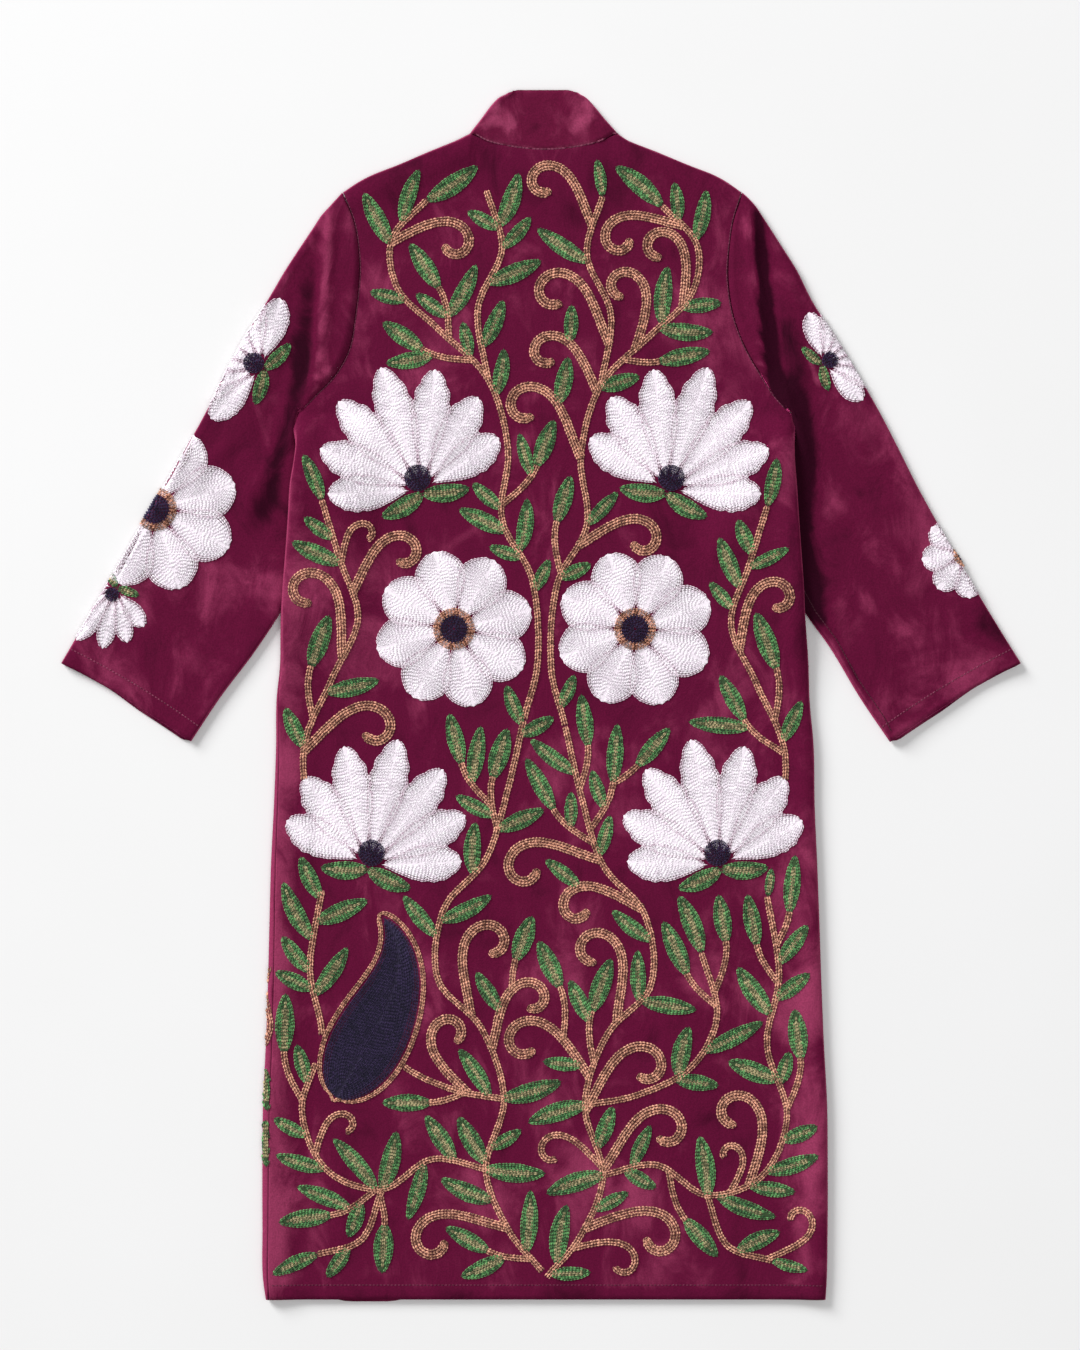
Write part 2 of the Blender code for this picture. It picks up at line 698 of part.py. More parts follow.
def collar_rows():
    """Rows of points of the collar's outer face, from the neck seam to its top edge."""
    fold_left = polyline(COLLAR_FOLD_LEFT)
    fold_right = polyline(COLLAR_FOLD_RIGHT)
    neck = polyline(BACK_NECK)
    seam = np.array([0.0, COLLAR_SEAM])
    front_left = polyline(FRONT_NECK_LEFT)[::-1]
    front_right = polyline(FRONT_NECK_RIGHT)
    edge_left = polyline(COLLAR_TOP_LEFT)[::-1]
    edge_right = polyline(COLLAR_TOP_RIGHT)
    rows = []
    for t in COLLAR_ROWS:
        left = at_share(fold_left, t) + seam
        right = at_share(fold_right, t) + seam
        run = unit(right - left)
        left_edge = heading(fold_left, t * lengths(fold_left)[-1], EDGE_WINDOW)
        right_edge = heading(fold_right, t * lengths(fold_right)[-1], EDGE_WINDOW)
        line = []
        for low, high in list(zip(front_left, edge_left))[:-1]:
            plan = (low + seam) * (1.0 - t) + (high + seam) * t
            line.append(np.array([plan[0], plan[1], 0.0]))
        front_run = unit(line[-1][:2] - left)
        for step in FOLD_STEPS[:0:-1]:
            inward, rise = roll(step, FOLD_RADIUS)
            plan = left + front_run * inward * slant(front_run, left_edge)
            line.append(np.array([plan[0], plan[1], FOLD_RADIUS - rise]))
        for step in FOLD_STEPS:
            inward, rise = roll(step, FOLD_RADIUS)
            plan = left + run * inward * slant(run, left_edge)
            line.append(np.array([plan[0], plan[1], FOLD_RADIUS + rise]))
        for point in neck[1:-1]:
            share = (point[0] - neck[0][0]) / (neck[-1][0] - neck[0][0])
            sag = point[1] - (neck[0][1] * (1.0 - share) + neck[-1][1] * share)
            plan = left + (right - left) * share + np.array([0.0, sag * (1.0 - smooth(t))])
            near = 1.0 - smooth(min(share, 1.0 - share) / COLLAR_FOLD_SHARE)
            line.append(np.array([plan[0], plan[1], LAYERED + (2.0 * FOLD_RADIUS - LAYERED) * near]))
        for step in FOLD_STEPS[::-1]:
            inward, rise = roll(step, FOLD_RADIUS)
            plan = right - run * inward * slant(run, right_edge)
            line.append(np.array([plan[0], plan[1], FOLD_RADIUS + rise]))
        tail = []
        for low, high in list(zip(front_right, edge_right))[1:]:
            plan = (low + seam) * (1.0 - t) + (high + seam) * t
            tail.append(np.array([plan[0], plan[1], 0.0]))
        front_run = unit(tail[0][:2] - right)
        for step in FOLD_STEPS[1:]:
            inward, rise = roll(step, FOLD_RADIUS)
            plan = right + front_run * inward * slant(front_run, right_edge)
            line.append(np.array([plan[0], plan[1], FOLD_RADIUS - rise]))
        rows.append(line + tail)
    return rows


def material(name, colour, roughness):
    made = bpy.data.materials.new(name)
    made.use_nodes = True
    shader = made.node_tree.nodes["Principled BSDF"]
    shader.inputs["Base Color"].default_value = colour
    shader.inputs["Roughness"].default_value = roughness
    shader.inputs["Metallic"].default_value = 0.0
    return made


def add_cloth(name, rows, closed, flip, colour, roughness):
    """A cloth piece: its outer face as a grid of quads, given a wall by Solidify."""
    columns = len(rows[0])
    vertices = [tuple(float(value) * MM for value in point) for row in rows for point in row]
    faces = []
    for row in range(len(rows) - 1):
        for column in range(columns if closed else columns - 1):
            following = (column + 1) % columns
            quad = (row * columns + column, row * columns + following,
                    (row + 1) * columns + following, (row + 1) * columns + column)
            faces.append(quad[::-1] if flip else quad)
    mesh = bpy.data.meshes.new(name)
    mesh.from_pydata(vertices, [], faces)
    mesh.materials.append(material(name + "_velvet", colour, roughness))
    piece = bpy.data.objects.new(name, mesh)
    collection = bpy.data.collections.new(name)
    bpy.context.scene.collection.children.link(collection)
    collection.objects.link(piece)
    wall = piece.modifiers.new("wall", "SOLIDIFY")
    wall.thickness = WALL * MM
    wall.offset = -1.0
    return piece


def main():
    for old in list(bpy.data.objects):
        bpy.data.objects.remove(old, do_unlink=True)
    add_cloth("back_panel", back_rows(), False, False, VELVET, 0.92)
    add_cloth("front_left", front_rows("left"), False, True, VELVET_DARK, 0.93)
    add_cloth("front_right", front_rows("right"), False, False, VELVET_DARK, 0.94)
    add_cloth("sleeve_left", sleeve_rows("left"), True, True, VELVET, 0.90)
    add_cloth("sleeve_right", sleeve_rows("right"), True, False, VELVET, 0.91)
    add_cloth("collar", collar_rows(), False, False, VELVET_LIGHT, 0.89)


main()
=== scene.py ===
"""Looks of the long velvet coat lying flat with its back up.

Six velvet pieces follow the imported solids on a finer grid, and chain stitch embroidery lies on them.
Lengths in the tables are millimetres and become metres when a mesh is made.
"""

import math
from collections import namedtuple

import bpy
import numpy as np
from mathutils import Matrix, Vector
from mathutils.bvhtree import BVHTree


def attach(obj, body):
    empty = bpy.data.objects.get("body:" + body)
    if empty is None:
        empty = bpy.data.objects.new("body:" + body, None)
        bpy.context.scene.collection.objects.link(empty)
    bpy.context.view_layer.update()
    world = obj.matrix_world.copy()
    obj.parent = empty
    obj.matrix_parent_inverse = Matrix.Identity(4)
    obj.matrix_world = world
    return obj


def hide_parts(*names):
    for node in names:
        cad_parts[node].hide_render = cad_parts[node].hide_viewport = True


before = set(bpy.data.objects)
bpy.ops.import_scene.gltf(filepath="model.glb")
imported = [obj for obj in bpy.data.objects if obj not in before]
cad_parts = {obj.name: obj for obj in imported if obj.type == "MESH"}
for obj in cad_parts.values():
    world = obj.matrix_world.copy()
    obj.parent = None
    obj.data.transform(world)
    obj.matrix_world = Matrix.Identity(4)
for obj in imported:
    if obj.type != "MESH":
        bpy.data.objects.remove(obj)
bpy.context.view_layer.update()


MM = 0.001

WALL = 2.0
LAYERED = 4.8
HALF_SEAM = 0.15
SEAM_STRAIGHT = 1.5
SEAM_SLACK = 0.01
SEAM_SET = 0.01
ARMHOLE_SEAM = 0.5
ARMHOLE_END = 1.0
COLLAR_SEAM = 0.45
FOLD_RADIUS = 3.2
FOLD_SWELL = 2.0 * FOLD_RADIUS - LAYERED
CORNER_RADIUS = 8.0
ARMPIT_GAP = 0.5
NECK_GAP = 0.6
SLOPE_GAP = 0.8
FULL_LIFT = 7.0
SLANT_LIMIT = 0.5
FOLD_TURN = 20.0
UNDERARM_TURN = 50.0
ARMPIT_FADE = 27.0
NECK_FADE = 12.0
SHOULDER_FADE = 30.0
BULGE_START = 5.0
CUFF_START = 0.9
EDGE_WINDOW = 3.0
COLLAR_FOLD_SHARE = 0.25
CENTRE_FRONT = 3.0
HALF_FRONT_GAP = 0.5
HEM = -604.5
ARMPIT = 282.0
YOKE = 414.0
SWELL_WIDTH = 38.0
TUCK_WIDTH = 42.0
TUCK_SLOPE = 60.0
CUFF_BULGE = 3.0
BULGE_FADE = 1.5
BULGE_REACH = 24.0


def table(kind, *values):
    """Rows of a table, from values that follow each other."""
    width = len(kind._fields)
    return [kind(*map(float, values[start:start + width])) for start in range(0, len(values), width)]


def line(*values):
    """Plan points of a line, from x and y values that follow each other."""
    return np.array(values, dtype=float).reshape(-1, 2)


Side = namedtuple("Side", "y left right")
SIDE_LINES = table(Side,
    -604.5, -275.5, 284.5, -590, -277.5, 285.4, -505, -279, 287, -405, -278, 286, -325, -274, 281.5, -245, -272,
    279, -165, -270, 276, -85, -266, 272.5, -45, -265, 272.5, -5, -264.5, 268.5, 35, -260.5, 267, 80, -259.5,
    263.5, 116, -257.5, 262, 160, -253.5, 258.5, 209, -251, 255.5, 232, -247, 253.5, 250, -245, 253, 267,
    -245.5, 252, 282, -241.5, 248)
BACK_ARMHOLE = table(Side,
    282, -241.5, 248, 297, -228, 235, 316, -209, 222.5, 343, -193, 206.5, 379, -186, 192.5, 414, -182, 187, 446,
    -182, 187.7, 475, -187, 192, 502.5, -198, 200.5)
FRONT_ARMHOLE = table(Side,
    282, -241.5, 248, 297, -226, 233, 316, -204, 217, 343, -184, 196, 379, -178, 184, 414, -176, 181, 446, -178,
    183, 475, -185, 190, 502.5, -198, 200.5)
Section = namedtuple("Section", "y radius lift wrap")
SECTIONS = table(Section,
    -604.5, 4, 0, 6.5, -590, 4.2, 0, 7.5, -505, 4.4, 0, 9, -405, 4.4, 0, 9.5, -285, 4.4, 0, 8.5, -165, 4.4, 0,
    7.5, -45, 4.4, 0, 6, 10, 4.3, 0, 4, 30, 4.2, 1.5, 3, 50, 4.2, 4, 2, 75, 4.2, 7, 1, 110, 4.2, 7, 0, 240, 4.2,
    7, 0, 252, 4, 6.2, 0, 267, 3.6, 3.2, 0, 282, 3.2, 0, 0)
Ring = namedtuple("Ring", "reach under")
SLEEVE_ROWS = table(Ring,
    0, 0, 9, 0.6, 20, 1.2, 31, 1.8, 44, 2.6, 66, 3.8, 95, 5.6, 130, 8.2, 170, 11.5, 212, 16.5, 255, 26, 298, 52,
    342, 98, 386, 152, 430, 206, 474, 262, 516, 322, 549, 374)

Half = namedtuple("Half", "sign shoulder neck fold top outer underarm")
BACK_NECK = line(-71.5, 561, -56, 555, -38, 550, -18, 546.8, 3, 545.4, 24, 546.6, 44, 549.8, 62, 555, 77, 561)
LEFT = Half(
    sign=-1.0,
    shoulder=line(-198, 502.5, -184, 512.5, -171, 519, -142, 530.5, -113, 543, -86, 554, -71.5, 561),
    neck=line(-71.5, 561, -66, 535, -52, 505, -28, 480, 2.5, 463),
    fold=line(-71.5, 561, -60.5, 575, -49.5, 590, -34.5, 604.5),
    top=line(-34.5, 604.5, -24, 575, -12, 548, -2, 531, 2.5, 520),
    outer=line(
        -198, 502.5, -219, 479.5, -231, 461, -249, 435, -267, 404.5, -284, 376, -302, 349, -320, 312.5, -338,
        276, -385, 195, -443, 95, -467, 54, -480, 32),
    underarm=line(
        -243.2, 283.4, -243.9, 281.8, -244.1, 278.6, -245, 273, -246.1, 263, -245.9, 254, -242, 240, -234, 222,
        -228, 195, -226, 170, -231, 145, -243, 115, -259.5, 84, -277, 55, -309, 15, -336, -25, -350, -46.5),
)
RIGHT = Half(
    sign=1.0,
    shoulder=line(200.5, 502.5, 187, 512.5, 175, 519, 146, 530.5, 116, 543, 88, 554, 77, 561),
    neck=line(77, 561, 71.5, 535, 58, 505, 34, 480, 3.5, 463),
    fold=line(77, 561, 64.5, 575, 52, 590, 38.5, 604.5),
    top=line(38.5, 604.5, 29, 575, 17, 548, 8, 531, 3.5, 520),
    outer=line(
        200.5, 502.5, 212, 492, 226, 470.5, 242, 445.5, 255, 425, 272, 391, 287, 369, 317, 320, 342, 276.5, 383,
        195, 441, 95, 466, 54, 480, 32),
    underarm=line(
        249.7, 283.4, 250.4, 281.8, 250.6, 278.6, 251.5, 273, 252.9, 263, 253.6, 254, 250, 240, 241, 222, 234,
        198, 231, 172, 235, 145, 246, 115, 263.5, 82, 285, 55, 307, 15, 334, -25, 349, -47),
)
HALVES = {"left": LEFT, "right": RIGHT}

YOKE_ROWS = (446.0, 475.0)
SEAM_STEPS = (0.0, 1.35, 3.25, 4.95)
FOLD_STEPS = (0.0, 1.7, 3.4, 5.03)
SIDE_STEPS = (0.0, 1.35, 3.85, 6.75)
FRONT_SIDE_STEPS = (0.0, 1.5, 3.0, 4.5, 6.0)
FRONT_SIDE_REACH = 7.0
CORNER_STEPS = (2.4, CORNER_RADIUS)
ROW_HEIGHTS = (HEM, -590, -530, -470, -410, -350, -290, -230, -170, -110, -50, -5, 35, 60, 80, 105, 140, 180, 212,
               234, 250, 266, ARMPIT, *(ARMPIT + step for step in CORNER_STEPS), 297, 316, 343, 379, YOKE)
COLLAR_ROWS = (0.0, 0.33, 0.67, 1.0)


def smooth(value):
    value = min(max(value, 0.0), 1.0)
    return value * value * (3.0 - 2.0 * value)


def look_up(rows, y, column):
    """Value of one column of a table whose rows rise in y."""
    return float(np.interp(y, [row.y for row in rows], [getattr(row, column) for row in rows]))


def lengths(path):
    steps = np.hypot(*np.diff(path, axis=0).T)
    return np.concatenate([[0.0], np.cumsum(steps)])


def at_length(path, distance):
    """Point of a path at a distance from its first point, or an array of them."""
    along = lengths(path)
    return np.stack([np.interp(distance, along, path[:, 0]), np.interp(distance, along, path[:, 1])], axis=-1)


def inset(rows, x, y):
    """How far a place lies inside the nearer side of the body, by a table of its sides."""
    return min(x - look_up(rows, y, "left"), look_up(rows, y, "right") - x)


def underside(x, y):
    """Height of the front's outer face, which rises over the sleeve tucked below the side."""
    if y > ARMPIT:
        return 0.0
    rise = 1.0 - smooth((inset(SIDE_LINES, x, y) - TUCK_WIDTH) / TUCK_SLOPE)
    return look_up(SECTIONS, y, "lift") * rise


def shoulder_height(x, y):
    """Swell of the back where it turns over the shoulder."""
    path, neck = LEFT.shoulder, LEFT.shoulder[-1, 0] - x
    if x >= 0.0:
        path, neck = RIGHT.shoulder[::-1], x - RIGHT.shoulder[-1, 0]
    near = 1.0 - smooth((np.interp(x, *path.T) - y - FOLD_RADIUS) / SHOULDER_FADE)
    return FOLD_SWELL * near * smooth((neck + NECK_FADE) / NECK_FADE)


def back_height(x, y):
    """Height of the back's outer face over the plan."""
    if y <= ARMPIT:
        radius = look_up(SECTIONS, y, "radius")
        near = 1.0 - smooth((inset(SIDE_LINES, x, y) - radius) / SWELL_WIDTH)
        swell = (2.0 * radius - LAYERED) * near
    else:
        fade = 1.0 - smooth((y - ARMPIT) / ARMPIT_FADE)
        near = 1.0 - smooth((inset(BACK_ARMHOLE, x, y) - FOLD_RADIUS) / SWELL_WIDTH)
        swell = max(FOLD_SWELL * near * fade, shoulder_height(x, y))
    lift = underside(x, y)
    return LAYERED + lift + SLOPE_GAP * math.sin(math.pi * lift / FULL_LIFT) + swell


def roll(distance, radius, seam=None):
    """Inward reach and height above the fold's middle, at a distance round a fold of the given radius.

    Close to a seam the cloth runs straight, so that the two edges face each other.
    """
    quarter = radius * math.pi / 2.0
    if seam is not None and abs(distance - seam) <= SEAM_STRAIGHT + ARMPIT_GAP + SEAM_SLACK:
        inward, rise = roll(seam, radius)
        angle = min(seam / radius, math.pi / 2.0)
        return inward + math.sin(angle) * (distance - seam), rise + math.cos(angle) * (distance - seam)
    if abs(distance) <= quarter:
        angle = distance / radius
        return radius * (1.0 - math.cos(angle)), radius * math.sin(angle)
    return radius + abs(distance) - quarter, math.copysign(radius, distance)


def corner_share(step):
    """How far the cloth has turned from a fold's middle height to its face, just beyond a corner."""
    return math.sqrt(max(0.0, 1.0 - (1.0 - min(step / CORNER_RADIUS, 1.0)) ** 2))


def half_seam(y):
    """Half of the gap at the side seams, which opens a little where three pieces meet."""
    return HALF_SEAM + ARMPIT_GAP * smooth((y - ARMPIT + ARMPIT_FADE) / ARMPIT_FADE)


def body_point(side, y, distance, armhole, upper):
    """Point of the body's outer face at a distance round the side fold, or in from the armhole seam."""
    sign = HALVES[side].sign
    if y <= ARMPIT:
        radius = look_up(SECTIONS, y, "radius")
        edge = look_up(SIDE_LINES, y, side)
        inward, rise = roll(distance, radius, look_up(SECTIONS, y, "wrap") if side == "left" else 0.0)
        x = edge - sign * inward
        z = underside(edge, y) + radius + rise
        if abs(distance) > radius * math.pi / 2.0:
            z = back_height(x, y) if distance > 0.0 else underside(x, y)
        return np.array([x, y, z])
    edge = look_up(armhole, y, side)
    x = edge - sign * abs(distance)
    share = corner_share(y - ARMPIT)
    inward, rise = roll(distance, FOLD_RADIUS, 0.0)
    rolled = np.array([edge - sign * inward, y, FOLD_RADIUS + rise])
    return share * np.array([x, y, back_height(x, y) if upper else 0.0]) + (1.0 - share) * rolled


def coons(bottom, top, left, right):
    """Plan points between four boundary lines: rows run from bottom to top, columns from left to right."""
    bottom, top, left, right = (np.asarray(path, dtype=float) for path in (bottom, top, left, right))
    grid = []
    for index, v in enumerate(lengths(left) / lengths(left)[-1]):
        row = []
        for column, u in enumerate(lengths(bottom) / lengths(bottom)[-1]):
            edges = (1 - v) * bottom[column] + v * top[column] + (1 - u) * left[index] + u * right[index]
            corners = (1 - u) * ((1 - v) * bottom[0] + v * top[0]) + u * ((1 - v) * bottom[-1] + v * top[-1])
            row.append(edges - corners)
        grid.append(row)
    return grid


def yoke_levels(armhole, side):
    """Plan points up an armhole from the yoke line to the shoulder, close together where the shoulder turns."""
    path = np.array([(getattr(row, side), row.y) for row in armhole if row.y >= YOKE])
    total = lengths(path)[-1]
    levels = [at_length(path, 0.0)] + [np.array([look_up(armhole, y, side), y]) for y in YOKE_ROWS]
    return levels + [at_length(path, total - roll(step + HALF_SEAM, FOLD_RADIUS, 0.0)[0] - SEAM_SET * step)
                     for step in SEAM_STEPS[::-1]]


def neck_gap(x, turn):
    """Extra room between back and front beside the ends of the neck seam."""
    beside_neck = min(abs(x - LEFT.shoulder[-1, 0]), abs(x - RIGHT.shoulder[-1, 0]))
    return NECK_GAP * (1.0 - smooth(beside_neck / NECK_FADE)) * (1.0 - turn / FOLD_RADIUS)


def half_top(shoulder, steps, neck, inner):
    """Top edge of a panel from a shoulder inwards, with how far each point turns over the shoulder."""
    places = [(at_length(shoulder, step), 1.0) for step in steps] + [(point, 1.0) for point in shoulder[2:]]
    places += [(at_length(neck, step), 1.0 - corner_share(step)) for step in CORNER_STEPS]
    return places + [(point, 0.0) for point in inner]


def yoke_rows(bottom, top, left, right, turned, height):
    """Rows over the yoke. The last ones turn round the shoulder, and spread below an edge that lies flat."""
    grid = coons(bottom, top, left, right)
    count = len(SEAM_STEPS)
    for column, share in enumerate(turned):
        edge = grid[-1][column]
        down = unit(grid[-1 - count][column] - edge)
        for index, step in enumerate(SEAM_STEPS):
            row = grid[-1 - index]
            row[column] = share * row[column] + (1.0 - share) * (edge + down * step)
    turns = [None] * (len(grid) - count) + [roll(step + HALF_SEAM, FOLD_RADIUS, 0.0)[1] for step in SEAM_STEPS[::-1]]
    return [[np.array([x, y, height(x, y, turn, share)]) for (x, y), share in zip(row, turned)]
            for row, turn in list(zip(grid, turns))[1:]]


def back_rows():
    """Rows of points of the back's outer face, hem to shoulders."""
    first = len(SIDE_STEPS)
    neck_length = lengths(BACK_NECK)[-1]
    places = half_top(LEFT.shoulder, SIDE_STEPS, BACK_NECK, BACK_NECK[1:-1])
    places += [(at_length(BACK_NECK, neck_length - step), 1.0 - corner_share(step)) for step in CORNER_STEPS[::-1]]
    places += [(point, 1.0) for point in RIGHT.shoulder[:1:-1]]
    places += [(at_length(RIGHT.shoulder, step), 1.0) for step in SIDE_STEPS[::-1]]
    top, turned = map(list, zip(*places))
    inner_count = len(top) - 2 * first

    rows = []
    for y in ROW_HEIGHTS:
        gap = half_seam(y)
        start = look_up(SECTIONS, y, "wrap") + gap
        row = [body_point("left", y, start + step, BACK_ARMHOLE, True) for step in SIDE_STEPS]
        end = [body_point("right", y, gap + step, BACK_ARMHOLE, True) for step in SIDE_STEPS[::-1]]
        for index in range(1, inner_count + 1):
            x = row[first - 1][0] + (end[0][0] - row[first - 1][0]) * index / (inner_count + 1)
            row.append(np.array([x, y, back_height(x, y)]))
        rows.append(row + end)

    def height(x, y, turn, share):
        face = back_height(x, y)
        return face if turn is None else face + share * (FOLD_RADIUS + turn - face) + neck_gap(x, turn)

    left, right = yoke_levels(BACK_ARMHOLE, "left"), yoke_levels(BACK_ARMHOLE, "right")
    top[0], top[-1] = left[-1], right[-1]
    return rows + yoke_rows([point[:2] for point in rows[-1]], top, left, right, turned, height)


def front_rows(side):
    """Rows of points of one front's outer face, from the side seam to the centre front."""
    half = HALVES[side]
    side_steps = (0.0,) + tuple(SEAM_STRAIGHT - 0.1 + step for step in FRONT_SIDE_STEPS)
    top, turned = map(list, zip(*half_top(half.shoulder, side_steps, half.neck, half.neck[1:])))
    seam_drop = 2.0 * HALF_SEAM * np.array([half.sign, -1.0])
    top = [point + seam_drop if share < 1.0 else point for point, share in zip(top, turned)]
    centre = CENTRE_FRONT + half.sign * HALF_FRONT_GAP
    top[-1] = np.array([centre, top[-1][1]])
    inner_count = len(top) - len(side_steps)

    rows = []
    for y in ROW_HEIGHTS:
        wrap = look_up(SECTIONS, y, "wrap") if side == "left" else 0.0
        start = wrap - SEAM_STRAIGHT
        distances = [wrap - half_seam(y)]
        distances += [start + (-FRONT_SIDE_REACH - start) * step / FRONT_SIDE_STEPS[-1] for step in FRONT_SIDE_STEPS]
        row = [body_point(side, y, distance, FRONT_ARMHOLE, False) for distance in distances]
        first = row[-1][0]
        for index in range(1, inner_count):
            x = first + (CENTRE_FRONT - first) / inner_count * index
            row.append(np.array([x, y, underside(x, y)]))
        rows.append(row + [np.array([centre, y, 0.0])])

    def height(x, y, turn, share):
        return 0.0 if turn is None else max(0.0, share * (FOLD_RADIUS - turn) - neck_gap(x, turn))

    outer = yoke_levels(FRONT_ARMHOLE, side)
    top[0] = outer[-1]
    rise = lengths(np.array(outer))
    inner = [np.array([centre, YOKE + (top[-1][1] - YOKE) * share]) for share in rise / rise[-1]]
    return rows + yoke_rows([point[:2] for point in rows[-1]], top, outer, inner, turned, height)


def unit(vector):
    return vector / np.hypot(*vector)


def slant(direction, edge):
    """How much longer a fold's reach is along a line that meets the fold's edge at a slant."""
    sine = abs(float(direction[0] * edge[1] - direction[1] * edge[0]))
    return 1.0 / max(sine, SLANT_LIMIT)


def square(edge, towards):
    """Direction at right angles to an edge, on the side of another direction."""
    normal = np.array([-edge[1], edge[0]])
    return normal if float(normal @ towards) > 0.0 else -normal


def heading(path, distance):
    return unit(at_length(path, distance + EDGE_WINDOW) - at_length(path, distance - EDGE_WINDOW))


def round_fold(place, inward, edge, steps, turn):
    """Points round a fold from a place on its edge, over it (turn 1) or under it (turn -1)."""
    points = []
    for step in steps:
        reach, rise = roll(step, FOLD_RADIUS)
        points.append(np.array([*(place + inward * reach * slant(inward, edge)), FOLD_RADIUS + turn * rise]))
    return points


def sleeve_rows(side):
    """Rings of points of one sleeve's outer face, from the armhole to the cuff."""
    sign, outer, inner = HALVES[side].sign, HALVES[side].outer, HALVES[side].underarm
    shift = np.array([sign * ARMHOLE_SEAM, 0.0])
    start = outer[0] + shift
    chord = inner[0] - start
    faces = {}
    for upper, armhole in ((True, BACK_ARMHOLE), (False, FRONT_ARMHOLE)):
        points = [np.array([getattr(row, side), row.y]) + shift for row in armhole[-2:0:-1]]
        shares = [float((point - start) @ chord) / float(chord @ chord) for point in points]
        bulges = [point - start - share * chord for point, share in zip(points, shares)]
        faces[upper] = (shares, bulges, unit(points[0] - start), unit(points[-1] - inner[0]))
    outer_scale = lengths(outer)[-1] / SLEEVE_ROWS[-1].reach
    inner_scale = lengths(inner)[-1] / SLEEVE_ROWS[-1].under
    rings = []
    for row in SLEEVE_ROWS:
        t = row.reach / SLEEVE_ROWS[-1].reach
        fold = at_length(outer, row.reach * outer_scale) + shift * (1.0 - t) * ARMHOLE_END / ARMHOLE_SEAM
        under = at_length(inner, row.under * inner_scale)
        run = under - fold
        width = np.hypot(*run)
        along = np.array([-run[1], run[0]]) / width * (-sign)
        hem = CUFF_BULGE * smooth((t - CUFF_START) / (1.0 - CUFF_START))
        fold_edge = heading(outer, row.reach * outer_scale)
        under_edge = heading(inner, row.under * inner_scale)
        settled = smooth(row.reach / FOLD_TURN)
        settled_under = smooth(row.reach / UNDERARM_TURN)
        ring = []
        for upper in (True, False):
            shares, bulges, from_fold, from_under = faces[upper]
            turn, steps = (1.0, FOLD_STEPS) if upper else (-1.0, FOLD_STEPS[1:])
            inward = unit(from_fold * (1.0 - settled) + square(fold_edge, run) * settled)
            half = round_fold(fold, inward, fold_edge, steps, turn)
            for share, bulge in zip(shares, bulges):
                blend = math.exp(-BULGE_FADE * row.reach / (BULGE_REACH * (1.0 - share) + BULGE_START))
                plan = fold + run * share + bulge * blend + along * hem * 4.0 * share * (1.0 - share)
                near = 1.0 - smooth((min(share, 1.0 - share) * width - FOLD_RADIUS) / SWELL_WIDTH)
                half.append(np.array([*plan, LAYERED + FOLD_SWELL * near if upper else 0.0]))
            inward = unit(from_under * (1.0 - settled_under) - run / width * settled_under)
            half += round_fold(under, inward, under_edge, steps[::-1], turn)
            ring += half if upper else half[::-1]
        rings.append(ring)
    return rings


def collar_rows():
    """Rows of points of the collar's outer face, from the neck seam to its top edge."""
    seam = np.array([0.0, COLLAR_SEAM])
    rows = []
    for t in COLLAR_ROWS:
        (left, left_edge, left_front), (right, right_edge, right_front) = [
            (at_length(half.fold, t * lengths(half.fold)[-1]) + seam, heading(half.fold, t * lengths(half.fold)[-1]),
             [np.array([*((low + seam) * (1.0 - t) + (high + seam) * t), 0.0])
              for low, high in list(zip(half.neck, half.top))[1:]]) for half in (LEFT, RIGHT)]
        run = unit(right - left)
        row = left_front[::-1]
        row += round_fold(left, unit(row[-1][:2] - left), left_edge, FOLD_STEPS[:0:-1], -1.0)
        row += round_fold(left, run, left_edge, FOLD_STEPS, 1.0)
        for point in BACK_NECK[1:-1]:
            share = (point[0] - BACK_NECK[0][0]) / (BACK_NECK[-1][0] - BACK_NECK[0][0])
            sag = point[1] - (BACK_NECK[0][1] * (1.0 - share) + BACK_NECK[-1][1] * share)
            plan = left + (right - left) * share + np.array([0.0, sag * (1.0 - smooth(t))])
            near = 1.0 - smooth(min(share, 1.0 - share) / COLLAR_FOLD_SHARE)
            row.append(np.array([*plan, LAYERED + FOLD_SWELL * near]))
        row += round_fold(right, -run, right_edge, FOLD_STEPS[::-1], 1.0)
        row += round_fold(right, unit(right_front[0][:2] - right), right_edge, FOLD_STEPS[1:], -1.0)
        rows.append(row + right_front)
    return rows


Stroke = namedtuple("Stroke", "half_width level points")


def strokes(*rows):
    """Soft marks along lines, from rows of half width, level and the coordinates of each line."""
    return [Stroke(row[0], row[1], line(*row[2:])) for row in rows]


BACK_CREASES = strokes(
    (30, 3, 236, 250, 200, 186, 165, 130),
    (28, 2.6, -232, 250, -205, 205, -170, 150),
    (52, 2.4, -95, -60, -100, -290, -118, -520),
    (56, 2.8, 112, -20, 138, -260, 150, -500),
    (60, 1.8, -20, 330, 8, 210, 30, 90),
    (40, 1.4, -120, 430, 0, 438, 110, 440),
    (11, 1.3, -236, 118, -214, 66, -206, 8),
    (12, 1.4, -226, -36, -236, -120, -231, -205),
    (13, 1.2, 240, 40, 226, -40, 231, -118),
    (12, 1.1, 206, -214, 226, -306, 221, -392),
    (14, 1.1, -64, -330, -44, -430, -50, -530),
    (12, 1, 30, -230, 42, -310, 36, -400),
    (10, 0.9, -150, 470, -112, 452, -70, 447),
    (10, 0.9, 150, 462, 116, 446, 82, 441),
    (16, 1.2, -214, -440, -196, -500, -205, -560),
    (15, 1.2, 214, -470, 190, -520, 196, -570),
)
